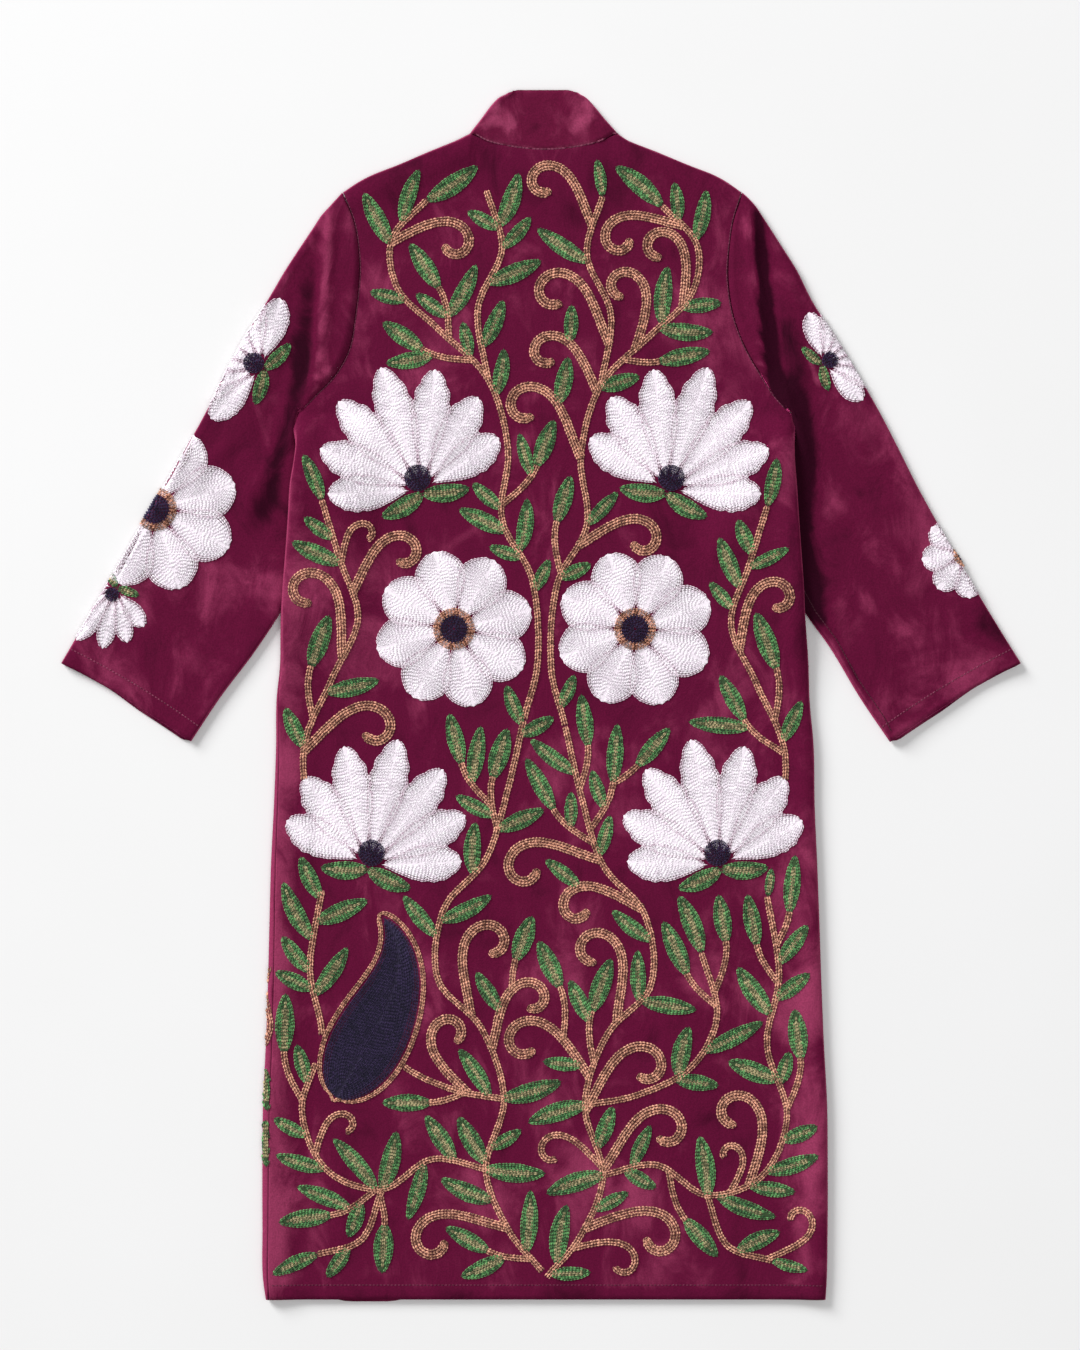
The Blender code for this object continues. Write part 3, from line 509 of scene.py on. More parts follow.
LEFT_SLEEVE_CREASES = strokes(
    (9, 5, -212, 482, -214.5, 440, -218.5, 382, -224, 340, -228, 312, -240, 288),
    (24, 3.4, -262, 372, -284, 310, -304, 246),
    (34, 2.2, -330, 200, -360, 142, -390, 84),
    (9, 2.4, -203, 342, -216, 322, -229, 306),
    (8, 1.8, -228, 296, -246, 272, -256, 236),
    (12, 1.6, -268, 232, -292, 200, -300, 158),
    (13, 1.5, -300, 262, -330, 232, -352, 190),
    (14, 1.3, -388, 150, -408, 112, -424, 70),
    (15, 1.2, -330, 60, -352, 30, -366, -8),
    (10, 1, -262, 130, -286, 96, -300, 58),
)
RIGHT_SLEEVE_CREASES = strokes(
    (3.2, -1.5, 244, 210, 242.5, 172, 246.5, 145, 257, 116, 274, 84, 295, 56, 317, 16, 343, -22, 350, -36),
    (8.5, 6.5, 206, 500, 209.5, 452, 214, 401, 218, 354, 222, 318, 228, 296),
    (19, 4.2, 240, 436, 252, 372, 268, 300),
    (34, 2.4, 330, 210, 358, 152, 384, 96),
    (9, 2, 236, 318, 256, 276, 268, 226),
    (12, 1.6, 266, 210, 286, 168, 296, 120),
    (13, 1.5, 296, 330, 312, 276, 334, 228),
    (14, 1.3, 392, 140, 410, 96, 420, 52),
    (14, 1.3, 318, 62, 342, 28, 356, -12),
    (10, 1, 258, 150, 270, 112, 292, 80),
)
COLLAR_CREASES = strokes(
    (9, 0.7, -40, 566, -26, 584, -10, 594),
    (10, 0.7, 52, 566, 36, 580, 20, 592),
)


CREASE_ENDS = 0.22
HEM_LINE = 14.5
CUFF_LINE = 17.0
FACE_LOW, FACE_SPAN = 3.8, 1.5


def distance_to(points, path):
    """Distance of each plan point from a path, and the share of the path's length nearest to it."""
    along = lengths(path)
    best = np.full(len(points), 1e9)
    share = np.zeros(len(points))
    for index, run in enumerate(np.diff(path, axis=0)):
        length = np.hypot(*run)
        t = np.clip(((points - path[index]) @ run) / length ** 2, 0.0, 1.0)
        gap = np.hypot(*(points - path[index] - t[:, None] * run).T)
        near = gap < best
        best[near] = gap[near]
        share[near] = (along[index] + t[near] * length) / along[-1]
    return best, share


def soft(values):
    values = np.clip(values, 0.0, 1.0)
    return values * values * (3.0 - 2.0 * values)


def crease_height(points, creases):
    """Height of the soft ridges of cloth over plan points."""
    total = np.zeros(len(points))
    for crease in creases:
        gap, share = distance_to(points, crease.points)
        across = np.clip(1.0 - (gap / crease.half_width) ** 2, 0.0, 1.0) ** 2
        ends = soft(share / CREASE_ENDS) * soft((1.0 - share) / CREASE_ENDS)
        total += crease.level * across * ends
    return total


def hermite(grid, knots, fine):
    """Smooth curve through the rows of a grid, taken at finer places along it."""
    steps = np.diff(knots)[:, None, None]
    slopes = np.diff(grid, axis=0) / steps
    tangents = np.empty_like(grid)
    before, after = steps[:-1], steps[1:]
    tangents[1:-1] = (slopes[:-1] * after + slopes[1:] * before) / (before + after)
    tangents[0], tangents[-1] = slopes[0], slopes[-1]
    index = np.clip(np.searchsorted(knots, fine, side="right") - 1, 0, len(knots) - 2)
    step = (knots[index + 1] - knots[index])[:, None, None]
    t = ((fine - knots[index]))[:, None, None] / step
    first, second = grid[index], grid[index + 1]
    low, high = tangents[index] * step, tangents[index + 1] * step
    return ((2 * t ** 3 - 3 * t ** 2 + 1) * first + (t ** 3 - 2 * t ** 2 + t) * low
            + (3 * t ** 2 - 2 * t ** 3) * second + (t ** 3 - t ** 2) * high)


def finer(grid, step, closed=False):
    """A grid of points with more rows, no further apart than a step; closed grids wrap round."""
    if closed:
        grid = np.concatenate([grid[-3:], grid, grid[:4]])
    gaps = np.linalg.norm(np.diff(grid, axis=0), axis=2).mean(axis=1)
    knots = np.concatenate([[0.0], np.cumsum(gaps)])
    first, last = (3, len(grid) - 4) if closed else (0, len(grid) - 1)
    fine = []
    for index in range(first, last):
        count = max(1, math.ceil(gaps[index] / step))
        fine += list(knots[index] + gaps[index] * np.arange(count) / count)
    if not closed:
        fine.append(knots[-1])
    return hermite(grid, knots, np.array(fine))


def fine_cloth(rows, step, closed=False):
    """Fine grid through the rows of a piece, none of it below the surface that it rests on."""
    grid = finer(np.array(rows), step)
    grid = finer(grid.transpose(1, 0, 2), step, closed).transpose(1, 0, 2)
    grid[..., 2] = np.maximum(grid[..., 2], 0.0)
    return grid


def raise_face(grid, creases):
    """Lift the upper face of a grid by its creases; faces below stay."""
    flat = grid.reshape(-1, 3)
    upper = soft((flat[:, 2] - FACE_LOW) / FACE_SPAN)
    flat[:, 2] = flat[:, 2] + crease_height(flat[:, :2], creases) * upper
    return flat.reshape(grid.shape)


def grid_faces(row_count, columns, closed, flip):
    rows = np.arange(row_count - 1)[:, None]
    start = np.arange(columns if closed else columns - 1)[None, :]
    following = (start + 1) % columns
    quads = np.stack([rows * columns + start, rows * columns + following,
                      (rows + 1) * columns + following, (rows + 1) * columns + start], axis=-1)
    quads = quads.reshape(-1, 4)
    return quads[:, ::-1] if flip else quads


def new_object(name, vertices, faces, material):
    mesh = bpy.data.meshes.new(name)
    mesh.from_pydata((np.asarray(vertices) * MM).tolist(), [], np.asarray(faces).tolist())
    mesh.materials.append(material)
    mesh.polygons.foreach_set("use_smooth", [True] * len(mesh.polygons))
    made = bpy.data.objects.new(name, mesh)
    bpy.context.scene.collection.objects.link(made)
    return made


def point_values(made, name, values):
    """Store one value a vertex, which a material reads by name."""
    made.data.attributes.new(name, "FLOAT", "POINT").data.foreach_set("value", values.ravel().astype(np.float32))


class Looks:
    """A material's nodes, with short calls for those that it is made of."""

    def __init__(self, name):
        self.material = bpy.data.materials.new(name)
        self.material.use_nodes = True
        self.tree = self.material.node_tree
        self.shader = self.tree.nodes["Principled BSDF"]
        self.place = self.node("TexCoord").outputs["Object"]

    def settle(self, node, inputs):
        """Link a socket to each named input that is one, and set the others."""
        for key, value in inputs.items():
            if isinstance(value, bpy.types.NodeSocket):
                self.tree.links.new(value, node.inputs[key])
            else:
                node.inputs[key].default_value = value
        return node

    def node(self, kind, inputs=(), **settings):
        node = self.tree.nodes.new("ShaderNode" + kind)
        for key, value in settings.items():
            setattr(node, key, value)
        return self.settle(node, dict(inputs))

    def noise(self, place, scale, detail=3.0, roughness=0.5, distortion=0.0):
        inputs = {"Vector": place, "Scale": scale, "Detail": detail, "Roughness": roughness,
                  "Distortion": distortion}
        return self.node("TexNoise", inputs).outputs["Fac"]

    def attribute(self, name):
        return self.node("Attribute", attribute_name=name).outputs["Fac"]

    def mapped(self, place, **inputs):
        return self.node("Mapping", {"Vector": place, **inputs}).outputs["Vector"]

    def spread(self, value, low, high, first=0.0, last=1.0):
        inputs = {"Value": value, "From Min": low, "From Max": high, "To Min": first, "To Max": last}
        return self.node("MapRange", inputs, interpolation_type="SMOOTHSTEP").outputs["Result"]

    def mixed(self, factor, first, second, blend="MIX"):
        inputs = {0: factor, 6: first, 7: second}
        return self.node("Mix", inputs, data_type="RGBA", blend_type=blend).outputs[2]

    def shaded(self, colour, shade):
        """A colour made lighter or darker by a factor."""
        tint = self.node("CombineColor", {0: shade, 1: shade, 2: shade}).outputs[0]
        return self.mixed(1.0, colour, tint, "MULTIPLY")

    def combine(self, operation, first, second):
        return self.node("Math", {0: first, 1: second}, operation=operation).outputs[0]

    def blend(self, *pairs):
        """Sum of two values, each times its share."""
        return self.combine("ADD", *(self.combine("MULTIPLY", value, share) for value, share in pairs))

    def bump(self, height, strength, distance, **normal):
        inputs = {"Height": height, "Strength": strength, "Distance": distance, **normal}
        return self.node("Bump", inputs).outputs["Normal"]

    def finish(self, **inputs):
        """Give the shader its inputs, each named with _ for a space."""
        self.settle(self.shader, {key.replace("_", " "): value for key, value in inputs.items()})
        return self.material


def velvet(name, deep, body, pale, seed):
    """Pile cloth: brushed patches, fine streaks along the lie of the pile, a stored level per vertex that paints
    shade and highlight on it as well as brushed pile, pile grain and soft sheen.
    """
    looks = Looks(name)
    moved = looks.mapped(looks.place, Location=(seed, seed * 0.7, seed * 0.3))
    streaked = looks.mapped(moved, Scale=(1.0, 0.55, 1.0), Rotation=(0.0, 0.0, 0.35))
    broad = looks.noise(moved, 8.5, 4.0, 0.55, 0.6)
    brushed = looks.noise(streaked, 27.0, 6.0, 0.64, 0.8)
    # The stored level adds painted shade and painted highlight, with brushed pile, to the noise patches.
    level = looks.combine("ADD", looks.blend((broad, 0.55), (brushed, 0.45)), looks.attribute("nap_and_shading"))
    colour = looks.mixed(looks.spread(level, 0.28, 0.48), (*deep, 1.0), (*body, 1.0))
    colour = looks.mixed(looks.spread(level, 0.49, 0.70), colour, (*pale, 1.0))
    grain = looks.noise(moved, 620.0, 3.0, 0.7)
    low = looks.bump(brushed, 0.45, 0.004)
    return looks.finish(
        Base_Color=looks.shaded(colour, looks.spread(grain, 0.30, 0.70, 0.82, 1.14)),
        Roughness=looks.spread(brushed, 0.3, 0.7, 0.86, 0.97), Specular_IOR_Level=0.05,
        Sheen_Weight=0.75, Sheen_Roughness=0.30, Sheen_Tint=(0.95, 0.09, 0.34, 1.0),
        Normal=looks.bump(grain, 0.30, 0.0005, Normal=low))


# Size of the small dark spots of painted shade between stitches.
GAP_SHADE_SCALE = 430.0


def thread(name, dark, light, sheen_tint, seed, gap_shade=0.0):
    """Embroidery thread: each stitch has its own tone, with painted shade and highlight on its lobes, fine strands,
    small dark spots of painted shade in the gaps between stitches, and a dull shine.
    """
    looks = Looks(name)
    moved = looks.mapped(looks.place, Location=(seed, seed, 0.0))
    fibre = looks.noise(moved, 1500.0, 2.0, 0.6)
    level = looks.blend((looks.attribute("tone"), 0.8), (looks.noise(moved, 24.0, 2.0), 0.2))
    # Painted shade: small dark spots between the stitches, darker by the given amount.
    if gap_shade:
        gaps = looks.node("TexVoronoi", {"Vector": moved, "Scale": GAP_SHADE_SCALE, "Randomness": 0.85})
        level = looks.combine("SUBTRACT", level, looks.spread(gaps.outputs["Distance"], 0.16, 0.38, gap_shade, 0.0))
    colour = looks.mixed(looks.spread(level, 0.15, 0.85), (*dark, 1.0), (*light, 1.0))
    return looks.finish(
        Base_Color=looks.shaded(colour, looks.spread(fibre, 0.3, 0.7, 0.86, 1.10)),
        Roughness=looks.spread(fibre, 0.3, 0.7, 0.62, 0.80), Specular_IOR_Level=0.25,
        Sheen_Weight=0.15, Sheen_Roughness=0.5, Sheen_Tint=(*sheen_tint, 1.0),
        Normal=looks.bump(fibre, 0.4, 0.0002))


# Four copies of one velvet, each with its own noise seed. The sleeve's deep tone is much darker than the others, so
# that the painted shade in its valleys goes darker; the front's copy is a little darker and the collar's a little
# lighter.
VELVETS = {slot: velvet(slot, *values) for slot, *values in [
    ("velvet_back", (0.046, 0.0018, 0.014), (0.102, 0.0044, 0.030), (0.265, 0.034, 0.092), 0.0),
    ("velvet_front", (0.044, 0.0018, 0.013), (0.094, 0.0040, 0.027), (0.240, 0.028, 0.082), 3.1),
    ("velvet_sleeve", (0.024, 0.0010, 0.008), (0.100, 0.0044, 0.029), (0.255, 0.031, 0.088), 5.7),
    ("velvet_collar", (0.050, 0.0020, 0.015), (0.112, 0.0060, 0.032), (0.290, 0.042, 0.105), 8.3),
]}
# Painted sheen on the velvet: where a face above a low height turns away from straight up, its pile is made lighter,
# as a rim highlight.
RIM_LOW = 3.0
RIM_PAINTED_SHEEN = 0.30
RIM_LEVEL = 0.93
RIM_SPAN = 0.45


def cloth(name, grid, closed, flip, nap_and_shading, slot):
    """A velvet piece with a wall, from the fine grid of its outer face, and a tree to find places on it."""
    faces = grid_faces(grid.shape[0], grid.shape[1], closed, flip)
    flat = grid.reshape(-1, 3)
    made = new_object(name, flat, faces, VELVETS[slot])
    normals = np.empty(len(flat) * 3)
    made.data.vertices.foreach_get("normal", normals)
    # Painted sheen on the turned edges, stored with the other painted shade and highlight.
    turned = np.where(flat[:, 2] > RIM_LOW, RIM_PAINTED_SHEEN * soft((RIM_LEVEL - normals[2::3]) / RIM_SPAN), 0.0)
    point_values(made, "nap_and_shading", nap_and_shading_levels(flat[:, :2], nap_and_shading) + turned)
    wall = made.modifiers.new("wall", "SOLIDIFY")
    wall.thickness = WALL * MM
    wall.offset = -1.0
    walled = bpy.data.meshes.new_from_object(made.evaluated_get(bpy.context.evaluated_depsgraph_get()))
    made.modifiers.clear()
    made.data = walled
    places = np.empty(len(walled.vertices) * 3)
    walled.vertices.foreach_get("co", places)
    places[2::3] = np.maximum(places[2::3], 0.0)
    walled.vertices.foreach_set("co", places)
    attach(made, "root")
    return made, BVHTree.FromPolygons((flat * MM).tolist(), faces.tolist())


# Strokes that lighten or darken the pile of each piece, stored per vertex: partly brushed pile, partly painted shade
# and painted highlight.
NAP_AND_SHADING_ENDS = 0.15
# Body: painted highlight down the left side and painted shade beside the right armpit, with other darker and lighter
# bands across the yoke, the lower back and along the hem.
BODY_NAP_AND_SHADING = strokes(
    (70, -0.07, -190, 540, 0, 505, 185, 540),
    (40, 0.17, -262, 20, -276, -330, -270, -660),
    (16, -0.1, 270, 250, 256, 160, 258, 60, 270, -20),
    (30, 0.05, -250, 210, -250, 100, -258, -20),
    (36, 0.1, 246, -120, 262, -330, 262, -640),
    (60, 0.07, -180, -470, -30, -520, 150, -500),
    (34, 0.07, -140, -250, -40, -290, 60, -262),
    (9, -0.1, -330, -599, 330, -599),
)
# Left sleeve: painted highlight along the armhole pleat's ridge and a crease, painted shade in the valley beside it
# and by the body, and broad lighter patches of pile.
LEFT_SLEEVE_NAP_AND_SHADING = strokes(
    (3.6, 0.15, -212.5, 500, -213.5, 438, -218, 388, -222, 340, -226, 304, -240, 284),
    (11, 0.07, -213, 510, -216, 440, -221, 388, -224, 350),
    (3.6, 0.14, -228, 312, -216, 321, -202, 332),
    (10, 0.1, -246, 430, -262, 398, -283, 360),
    (17, -0.17, -227, 450, -234, 380, -239, 330, -252, 270, -276, 190, -290, 150),
    (20, -0.12, -232, 262, -234, 190, -240, 120),
    (60, 0.1, -352, 230, -380, 150, -430, 60),
    (50, 0.02, -470, 30, -400, 0, -330, -40),
    (60, 0.1, -320, 150, -350, 70, -372, -20),
)
# Right sleeve: painted shade in the deep valley beside the armhole pleat, below the body's edge and along the
# underarm seam, painted highlight along the pleat's ridge and beside the seam, and lighter patches of pile.
RIGHT_SLEEVE_NAP_AND_SHADING = strokes(
    (12, -0.36, 216, 500, 220, 440, 225, 390, 231, 330, 243, 290, 254, 240),
    (3.6, 0.12, 208, 500, 213, 440, 217, 390, 220.5, 340, 225, 300),
    (30, -0.05, 236, 430, 242, 360, 258, 280, 268, 210),
    (26, -0.3, 244, 330, 254, 280, 260, 220, 254, 150, 266, 90, 284, 40),
    (14, 0.05, 203, 520, 206, 440, 211, 380, 216, 320),
    (34, 0.07, 330, 300, 370, 210, 430, 90),
    (6, 0.2, 266, 352, 269, 334, 274, 318, 280, 306),
    (2.4, -0.2, 244, 210, 242.5, 172, 246.5, 145, 257, 116, 274, 84, 295, 56, 317, 16, 343, -22),
    (3.6, 0.13, 244, 140, 252.5, 110, 268, 82, 290, 54, 312, 14, 338, -24),
)
# Collar: lighter patches on its rounded halves and a lighter line along the neck seam, partly brushed pile and partly
# painted highlight, and two darker patches.
COLLAR_NAP_AND_SHADING = strokes(
    (60, 0.06, -60, 570, 0, 580, 64, 570),
    (8, 0.1, -64, 566, -46, 576, -26, 564),
    (9, 0.08, -50, 590, -36, 580, -22, 568),
    (9, 0.09, 28, 562, 42, 574, 56, 580),
    (12, 0.11, 44, 598, 55, 584, 66, 568),
    (10, -0.08, 14, 600, 22, 586, 30, 580),
    (12, -0.05, -14, 600, -6, 578, -10, 556),
    (4, 0.14, -80, 560, -30, 546, 30, 546, 86, 560),
)


def nap_and_shading_levels(points, rows):
    """Lightness of the pile at plan points, partly brushed pile and partly painted shade and painted highlight: below
    zero is darker.
    """
    total = np.zeros(len(points))
    for row in rows:
        gap, share = distance_to(points, row.points)
        total += (row.level * soft(1.0 - gap / row.half_width) * soft(share / NAP_AND_SHADING_ENDS)
                  * soft((1.0 - share) / NAP_AND_SHADING_ENDS))
    return total


BULGE_SPAN = 24.0
ARMPIT_REACH = 24.0
ARMPIT_TUCK = 3.2
CUFF_SLIT = 3.6
SLIT_START, SLIT_RISE, SLIT_END = 0.30, 0.35, 0.07
HEM_DIP = 2.4
DIP_EASE, DIP_RISE = 16.0, 14.0
BACK_GRID, FRONT_GRID, SLEEVE_GRID, COLLAR_GRID = 5.6, 8.0, 5.0, 4.0


def fill_armpit(grid, centre, sign, push):
    """Let the back's edge bulge a little over the sleeve below an armpit."""
    edge = 0 if sign * grid[0, 0, 0] > 0.0 else -1
    share = push * soft(1.0 - np.hypot(*(grid[:, edge, :2] - centre).T) / BULGE_SPAN)
    grid[:, edge, 0] += sign * share
    grid[:, edge, 1] += share * 0.3
    return grid


def tuck_armpit(grid, underarm, sign):
    """Bring the seam edge of a sleeve a little below the body's edge near the armpit."""
    gap = np.hypot(*(grid[0, :, :2] - underarm).T)
    share = ARMPIT_TUCK * soft((ARMPIT_REACH - gap) / ARMPIT_REACH * 2.0)
    grid[0, :, 0] -= sign * share
    grid[0, :, 1] -= share * 0.9
    grid[0, :, 2] = np.maximum(grid[0, :, 2] - 0.6 * share, 0.0)
    return grid


def open_cuff(grid, outer, inner):
    """Let the lower layer of a cuff show a little beyond the upper one, under a narrow slit."""
    run = inner - outer
    along = (grid[-1, :, :2] - outer) @ run / (run @ run)
    share = CUFF_SLIT * soft((along - SLIT_START) / SLIT_RISE) * soft((1.0 - along) / SLIT_END)
    outward = (grid[-1, :, :2] - grid[-2, :, :2]).mean(axis=0)
    outward /= np.hypot(*outward)
    lower = grid[-1, :, 2] < np.median(grid[-1, :, 2])
    grid[-1, :, :2] += np.where(lower, share, 0.0)[:, None] * outward
    grid[-1, :, 2] += np.where(lower, 0.0, 0.5 * share)
    return grid


def dip_hem(grid, left, right):
    """Lower the front's hem a little between two places, so that it shows below the back."""
    across = soft((grid[:, :, 0] - left) / DIP_EASE) * soft((right - grid[:, :, 0]) / DIP_EASE)
    grid[:, :, 1] -= HEM_DIP * across * soft((HEM + DIP_RISE - grid[:, :, 1]) / DIP_RISE)
    return grid


def round_corner(grid, corner, reach, pull):
    """Round a corner of the cloth by drawing its points inward."""
    share = soft(1.0 - np.hypot(*(grid[:, :, :2] - corner).reshape(-1, 2).T) / reach).reshape(grid.shape[:2])
    grid[:, :, 0] -= np.sign(corner[0]) * pull * share * 0.7
    grid[:, :, 1] -= pull * share
    return grid


def sleeve_grid(side, creases):
    half = HALVES[side]
    grid = tuck_armpit(fine_cloth(sleeve_rows(side), SLEEVE_GRID, True), half.underarm[0], half.sign)
    return open_cuff(raise_face(grid, creases), half.outer[-1], half.underarm[-1])


back_grid = fill_armpit(fine_cloth(back_rows(), BACK_GRID), (-244.0, 274.0), -1.0, 2.8)
back_grid = raise_face(fill_armpit(back_grid, (252.0, 272.0), 1.0, 2.0), BACK_CREASES)
front_left_grid = dip_hem(fine_cloth(front_rows("left"), FRONT_GRID), -208.0, -136.0)
front_right_grid = fine_cloth(front_rows("right"), FRONT_GRID)
collar_grid = raise_face(fine_cloth(collar_rows(), COLLAR_GRID), COLLAR_CREASES)
collar_grid = round_corner(round_corner(collar_grid, (-34.0, 604.8), 12.0, 2.4), (37.5, 604.8), 12.0, 2.4)

back, back_tree = cloth("back_velvet", back_grid, False, False, BODY_NAP_AND_SHADING, "velvet_back")
front_left, front_left_tree = cloth("front_left_velvet", front_left_grid, False, True, BODY_NAP_AND_SHADING, "velvet_front")
front_right = cloth("front_right_velvet", front_right_grid, False, False, BODY_NAP_AND_SHADING, "velvet_front")[0]
sleeve_left, sleeve_left_tree = cloth("sleeve_left_velvet", sleeve_grid("left", LEFT_SLEEVE_CREASES), True, True,
                                      LEFT_SLEEVE_NAP_AND_SHADING, "velvet_sleeve")
sleeve_right, sleeve_right_tree = cloth("sleeve_right_velvet", sleeve_grid("right", RIGHT_SLEEVE_CREASES), True,
                                        False, RIGHT_SLEEVE_NAP_AND_SHADING, "velvet_sleeve")
collar, collar_tree = cloth("collar_velvet", collar_grid, False, False, COLLAR_NAP_AND_SHADING, "velvet_collar")
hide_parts("back_panel")
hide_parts("front_left")
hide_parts("front_right")
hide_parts("sleeve_left")
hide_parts("sleeve_right")
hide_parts("collar")


PITCH = 3.4
ROW_GAP = 2.5
STEM_GAP = 2.8
LEAF_GAP = 2.3
SCALLOPS = 7
SCALLOP_DEPTH = 0.17
# The leaves' underlay is a darker moss green: painted shade that shows between their rows of stitches.
UNDERLAY = {"white": "white", "navy": "navy", "green": "moss_shade"}
CELL = 2.0
FIELD = (-300.0, 300.0, -615.0, 600.0)
EDGE_MARGIN = 6.0
BOTEH_POINT = 4.2
rng = np.random.default_rng(41)


class Field:
    """What part of the back is free for another motif, as a grid of small cells."""

    def __init__(self):
        x0, x1, y0, y1 = FIELD
        self.taken = np.ones((int((y1 - y0) / CELL), int((x1 - x0) / CELL)), dtype=bool)
        for row in range(self.taken.shape[0]):
            y = y0 + (row + 0.5) * CELL
            left, right = body_limits(y)
            self.taken[row, int((left - x0) / CELL):int((right - x0) / CELL)] = False

    def cells(self, points, radius):
        reach = int(math.ceil(radius / CELL))
        steps = np.array([(i, j) for i in range(-reach, reach + 1) for j in range(-reach, reach + 1)
                          if math.hypot(i, j) * CELL <= radius + 0.01])
        base = np.floor((np.asarray(points) - (FIELD[0], FIELD[2])) / CELL).astype(int)
        cells = (base[:, None, :] + steps[None, :, :]).reshape(-1, 2)
        cells[:, 0] = np.clip(cells[:, 0], 0, self.taken.shape[1] - 1)
        cells[:, 1] = np.clip(cells[:, 1], 0, self.taken.shape[0] - 1)
        return cells[:, 1], cells[:, 0]

    def free(self, points, radius):
        return len(points) == 0 or not self.taken[self.cells(points, radius)].any()

    def take(self, points, radius):
        self.taken[self.cells(points, radius)] = True


def body_limits(y):
    """Left and right limits for motifs on the back at a height."""
    if y < HEM + 18.0 or y > 540.0:
        return 0.0, 0.0
    if y <= BACK_ARMHOLE[-1].y:
        rows = SIDE_LINES if y <= ARMPIT else BACK_ARMHOLE
        return look_up(rows, y, "left") + EDGE_MARGIN, look_up(rows, y, "right") - EDGE_MARGIN
    left, right = (float(np.interp(y, half.shoulder[:, 1], half.shoulder[:, 0])) for half in (LEFT, RIGHT))
    return left + EDGE_MARGIN + 4.0, right - EDGE_MARGIN - 4.0


def spline(points, step=2.0):
    """Smooth curve through plan points, sampled at even steps."""
    points = np.asarray(points, dtype=float)
    padded = np.concatenate([[2 * points[0] - points[1]], points, [2 * points[-1] - points[-2]]])
    curve = []
    for index in range(1, len(padded) - 2):
        a, b, c, d = padded[index - 1:index + 3]
        t = np.linspace(0.0, 1.0, 24, endpoint=False)[:, None]
        curve.append(0.5 * (2 * b + (c - a) * t + (2 * a - 5 * b + 4 * c - d) * t ** 2
                            + (3 * b - a - 3 * c + d) * t ** 3))
    curve = np.concatenate(curve + [points[-1:]])
    return resample(curve, step)


def resample(curve, step):
    along = lengths(curve)
    count = max(2, int(round(along[-1] / step)) + 1)
    return at_length(curve, np.linspace(0.0, along[-1], count))


def headings(path):
    run = np.gradient(path, axis=0)
    return np.arctan2(run[:, 1], run[:, 0])


def turned_path(start, heading_angle, length, bends):
    """Path whose curvature is read from a short table of (share, curvature)."""
    count = max(4, int(length / 2.0))
    shares = (np.arange(count) + 0.5) / count
    curvature = np.interp(shares, [bend[0] for bend in bends], [bend[1] for bend in bends])
    angles = heading_angle + np.concatenate([[0.0], np.cumsum(curvature) * length / count])
    steps = np.stack([np.cos(angles[:-1]), np.sin(angles[:-1])], axis=1) * length / count
    return np.concatenate([[start], start + np.cumsum(steps, axis=0)])


def beside(path, offsets):
    angles = headings(path)
    return path + np.stack([-np.sin(angles), np.cos(angles)], axis=1) * np.asarray(offsets)[:, None]


def stitch_entries(places, width, height, part=1.0):
    """One row a stitch: middle, heading, length, width, height, and the direction across it."""
    run = np.diff(places, axis=0)
    across = np.stack([-run[:, 1], run[:, 0]], axis=1)
    sizes = np.full((len(run), 2), (width, height))
    return np.concatenate([(places[1:] + places[:-1]) / 2.0, np.arctan2(run[:, 1], run[:, 0])[:, None],
                           np.hypot(*run.T)[:, None] * part, sizes, across], axis=1)


class Work:
    """Rows of chain stitches and the layer of thread below them, gathered by colour."""

    def __init__(self):
        self.rows = {}
        self.pads = {}

    def sew(self, colour, path, pitch=PITCH, width=ROW_GAP, height=1.3):
        if len(path) < 2:
            return
        total = lengths(path)[-1]
        if total < pitch * 0.9:
            return
        count = max(1, int(round(total / pitch)))
        phase = rng.uniform(-0.45, 0.45) if count > 3 else 0.0
        ends = np.linspace(0.0, total, count + 1)
        ends[1:-1] += (phase + rng.uniform(-0.14, 0.14, count - 1)) * total / count
        entry = stitch_entries(at_length(path, ends), width, height)
        entry[:, :2] += entry[:, 6:] * rng.uniform(-0.06, 0.06, (count, 1))
        self.rows.setdefault(colour, []).append(entry[:, :6])

    def stem(self, path, row_count, swell=0.0, colour="tan"):
        """Vine of some rows side by side; with a swell it widens to a rounded end."""
        along = lengths(path)
        share = along / along[-1]
        wide = 1.0 + swell * soft((share - 0.3) / 0.5)
        half = row_count * STEM_GAP / 2.0
        for index in range(row_count):
            place = (index - (row_count - 1) / 2.0) * STEM_GAP
            cut = half - math.sqrt(max(half ** 2 - place ** 2, 0.0))
            keep = along <= along[-1] - cut
            self.sew(colour, beside(path, place * wide)[keep], width=STEM_GAP + 0.7 + swell * 1.5, height=1.5)
        if row_count > 2:
            ring_rows(self, colour, path[-1] - (path[-1] - path[-3]) * 0.2, half * (1.0 + swell) - 1.2, 0.8, 2.5, 1.7)

    def pad(self, colour, middle, width, columns=7):
        places = np.linspace(-1.0, 1.0, columns)
        self.pads.setdefault(colour, []).append(np.stack([beside(middle, width * place) for place in places], axis=1))


def stretch(path, keep):
    """The part of a path from its first kept point to its last one."""
    first, last = np.flatnonzero(keep)[[0, -1]]
    return path[first:last + 1]


def contour_rows(middle, width, gap):
    """Rows that follow an outline inwards: (number from the edge, path)."""
    rows = []
    number = 0
    while True:
        inset = width - (number + 0.5) * gap
        keep = inset > gap * 0.30
        if keep.sum() < 4:
            break
        for side in (-1.0, 1.0):
            rows.append((number, stretch(beside(middle, side * np.maximum(inset, 0.0)), keep)))
        number += 1
    left_over = width - number * gap
    keep = left_over > -gap * 0.12
    if keep.sum() > 4:
        rows.append((number, stretch(middle, keep)))
    return rows


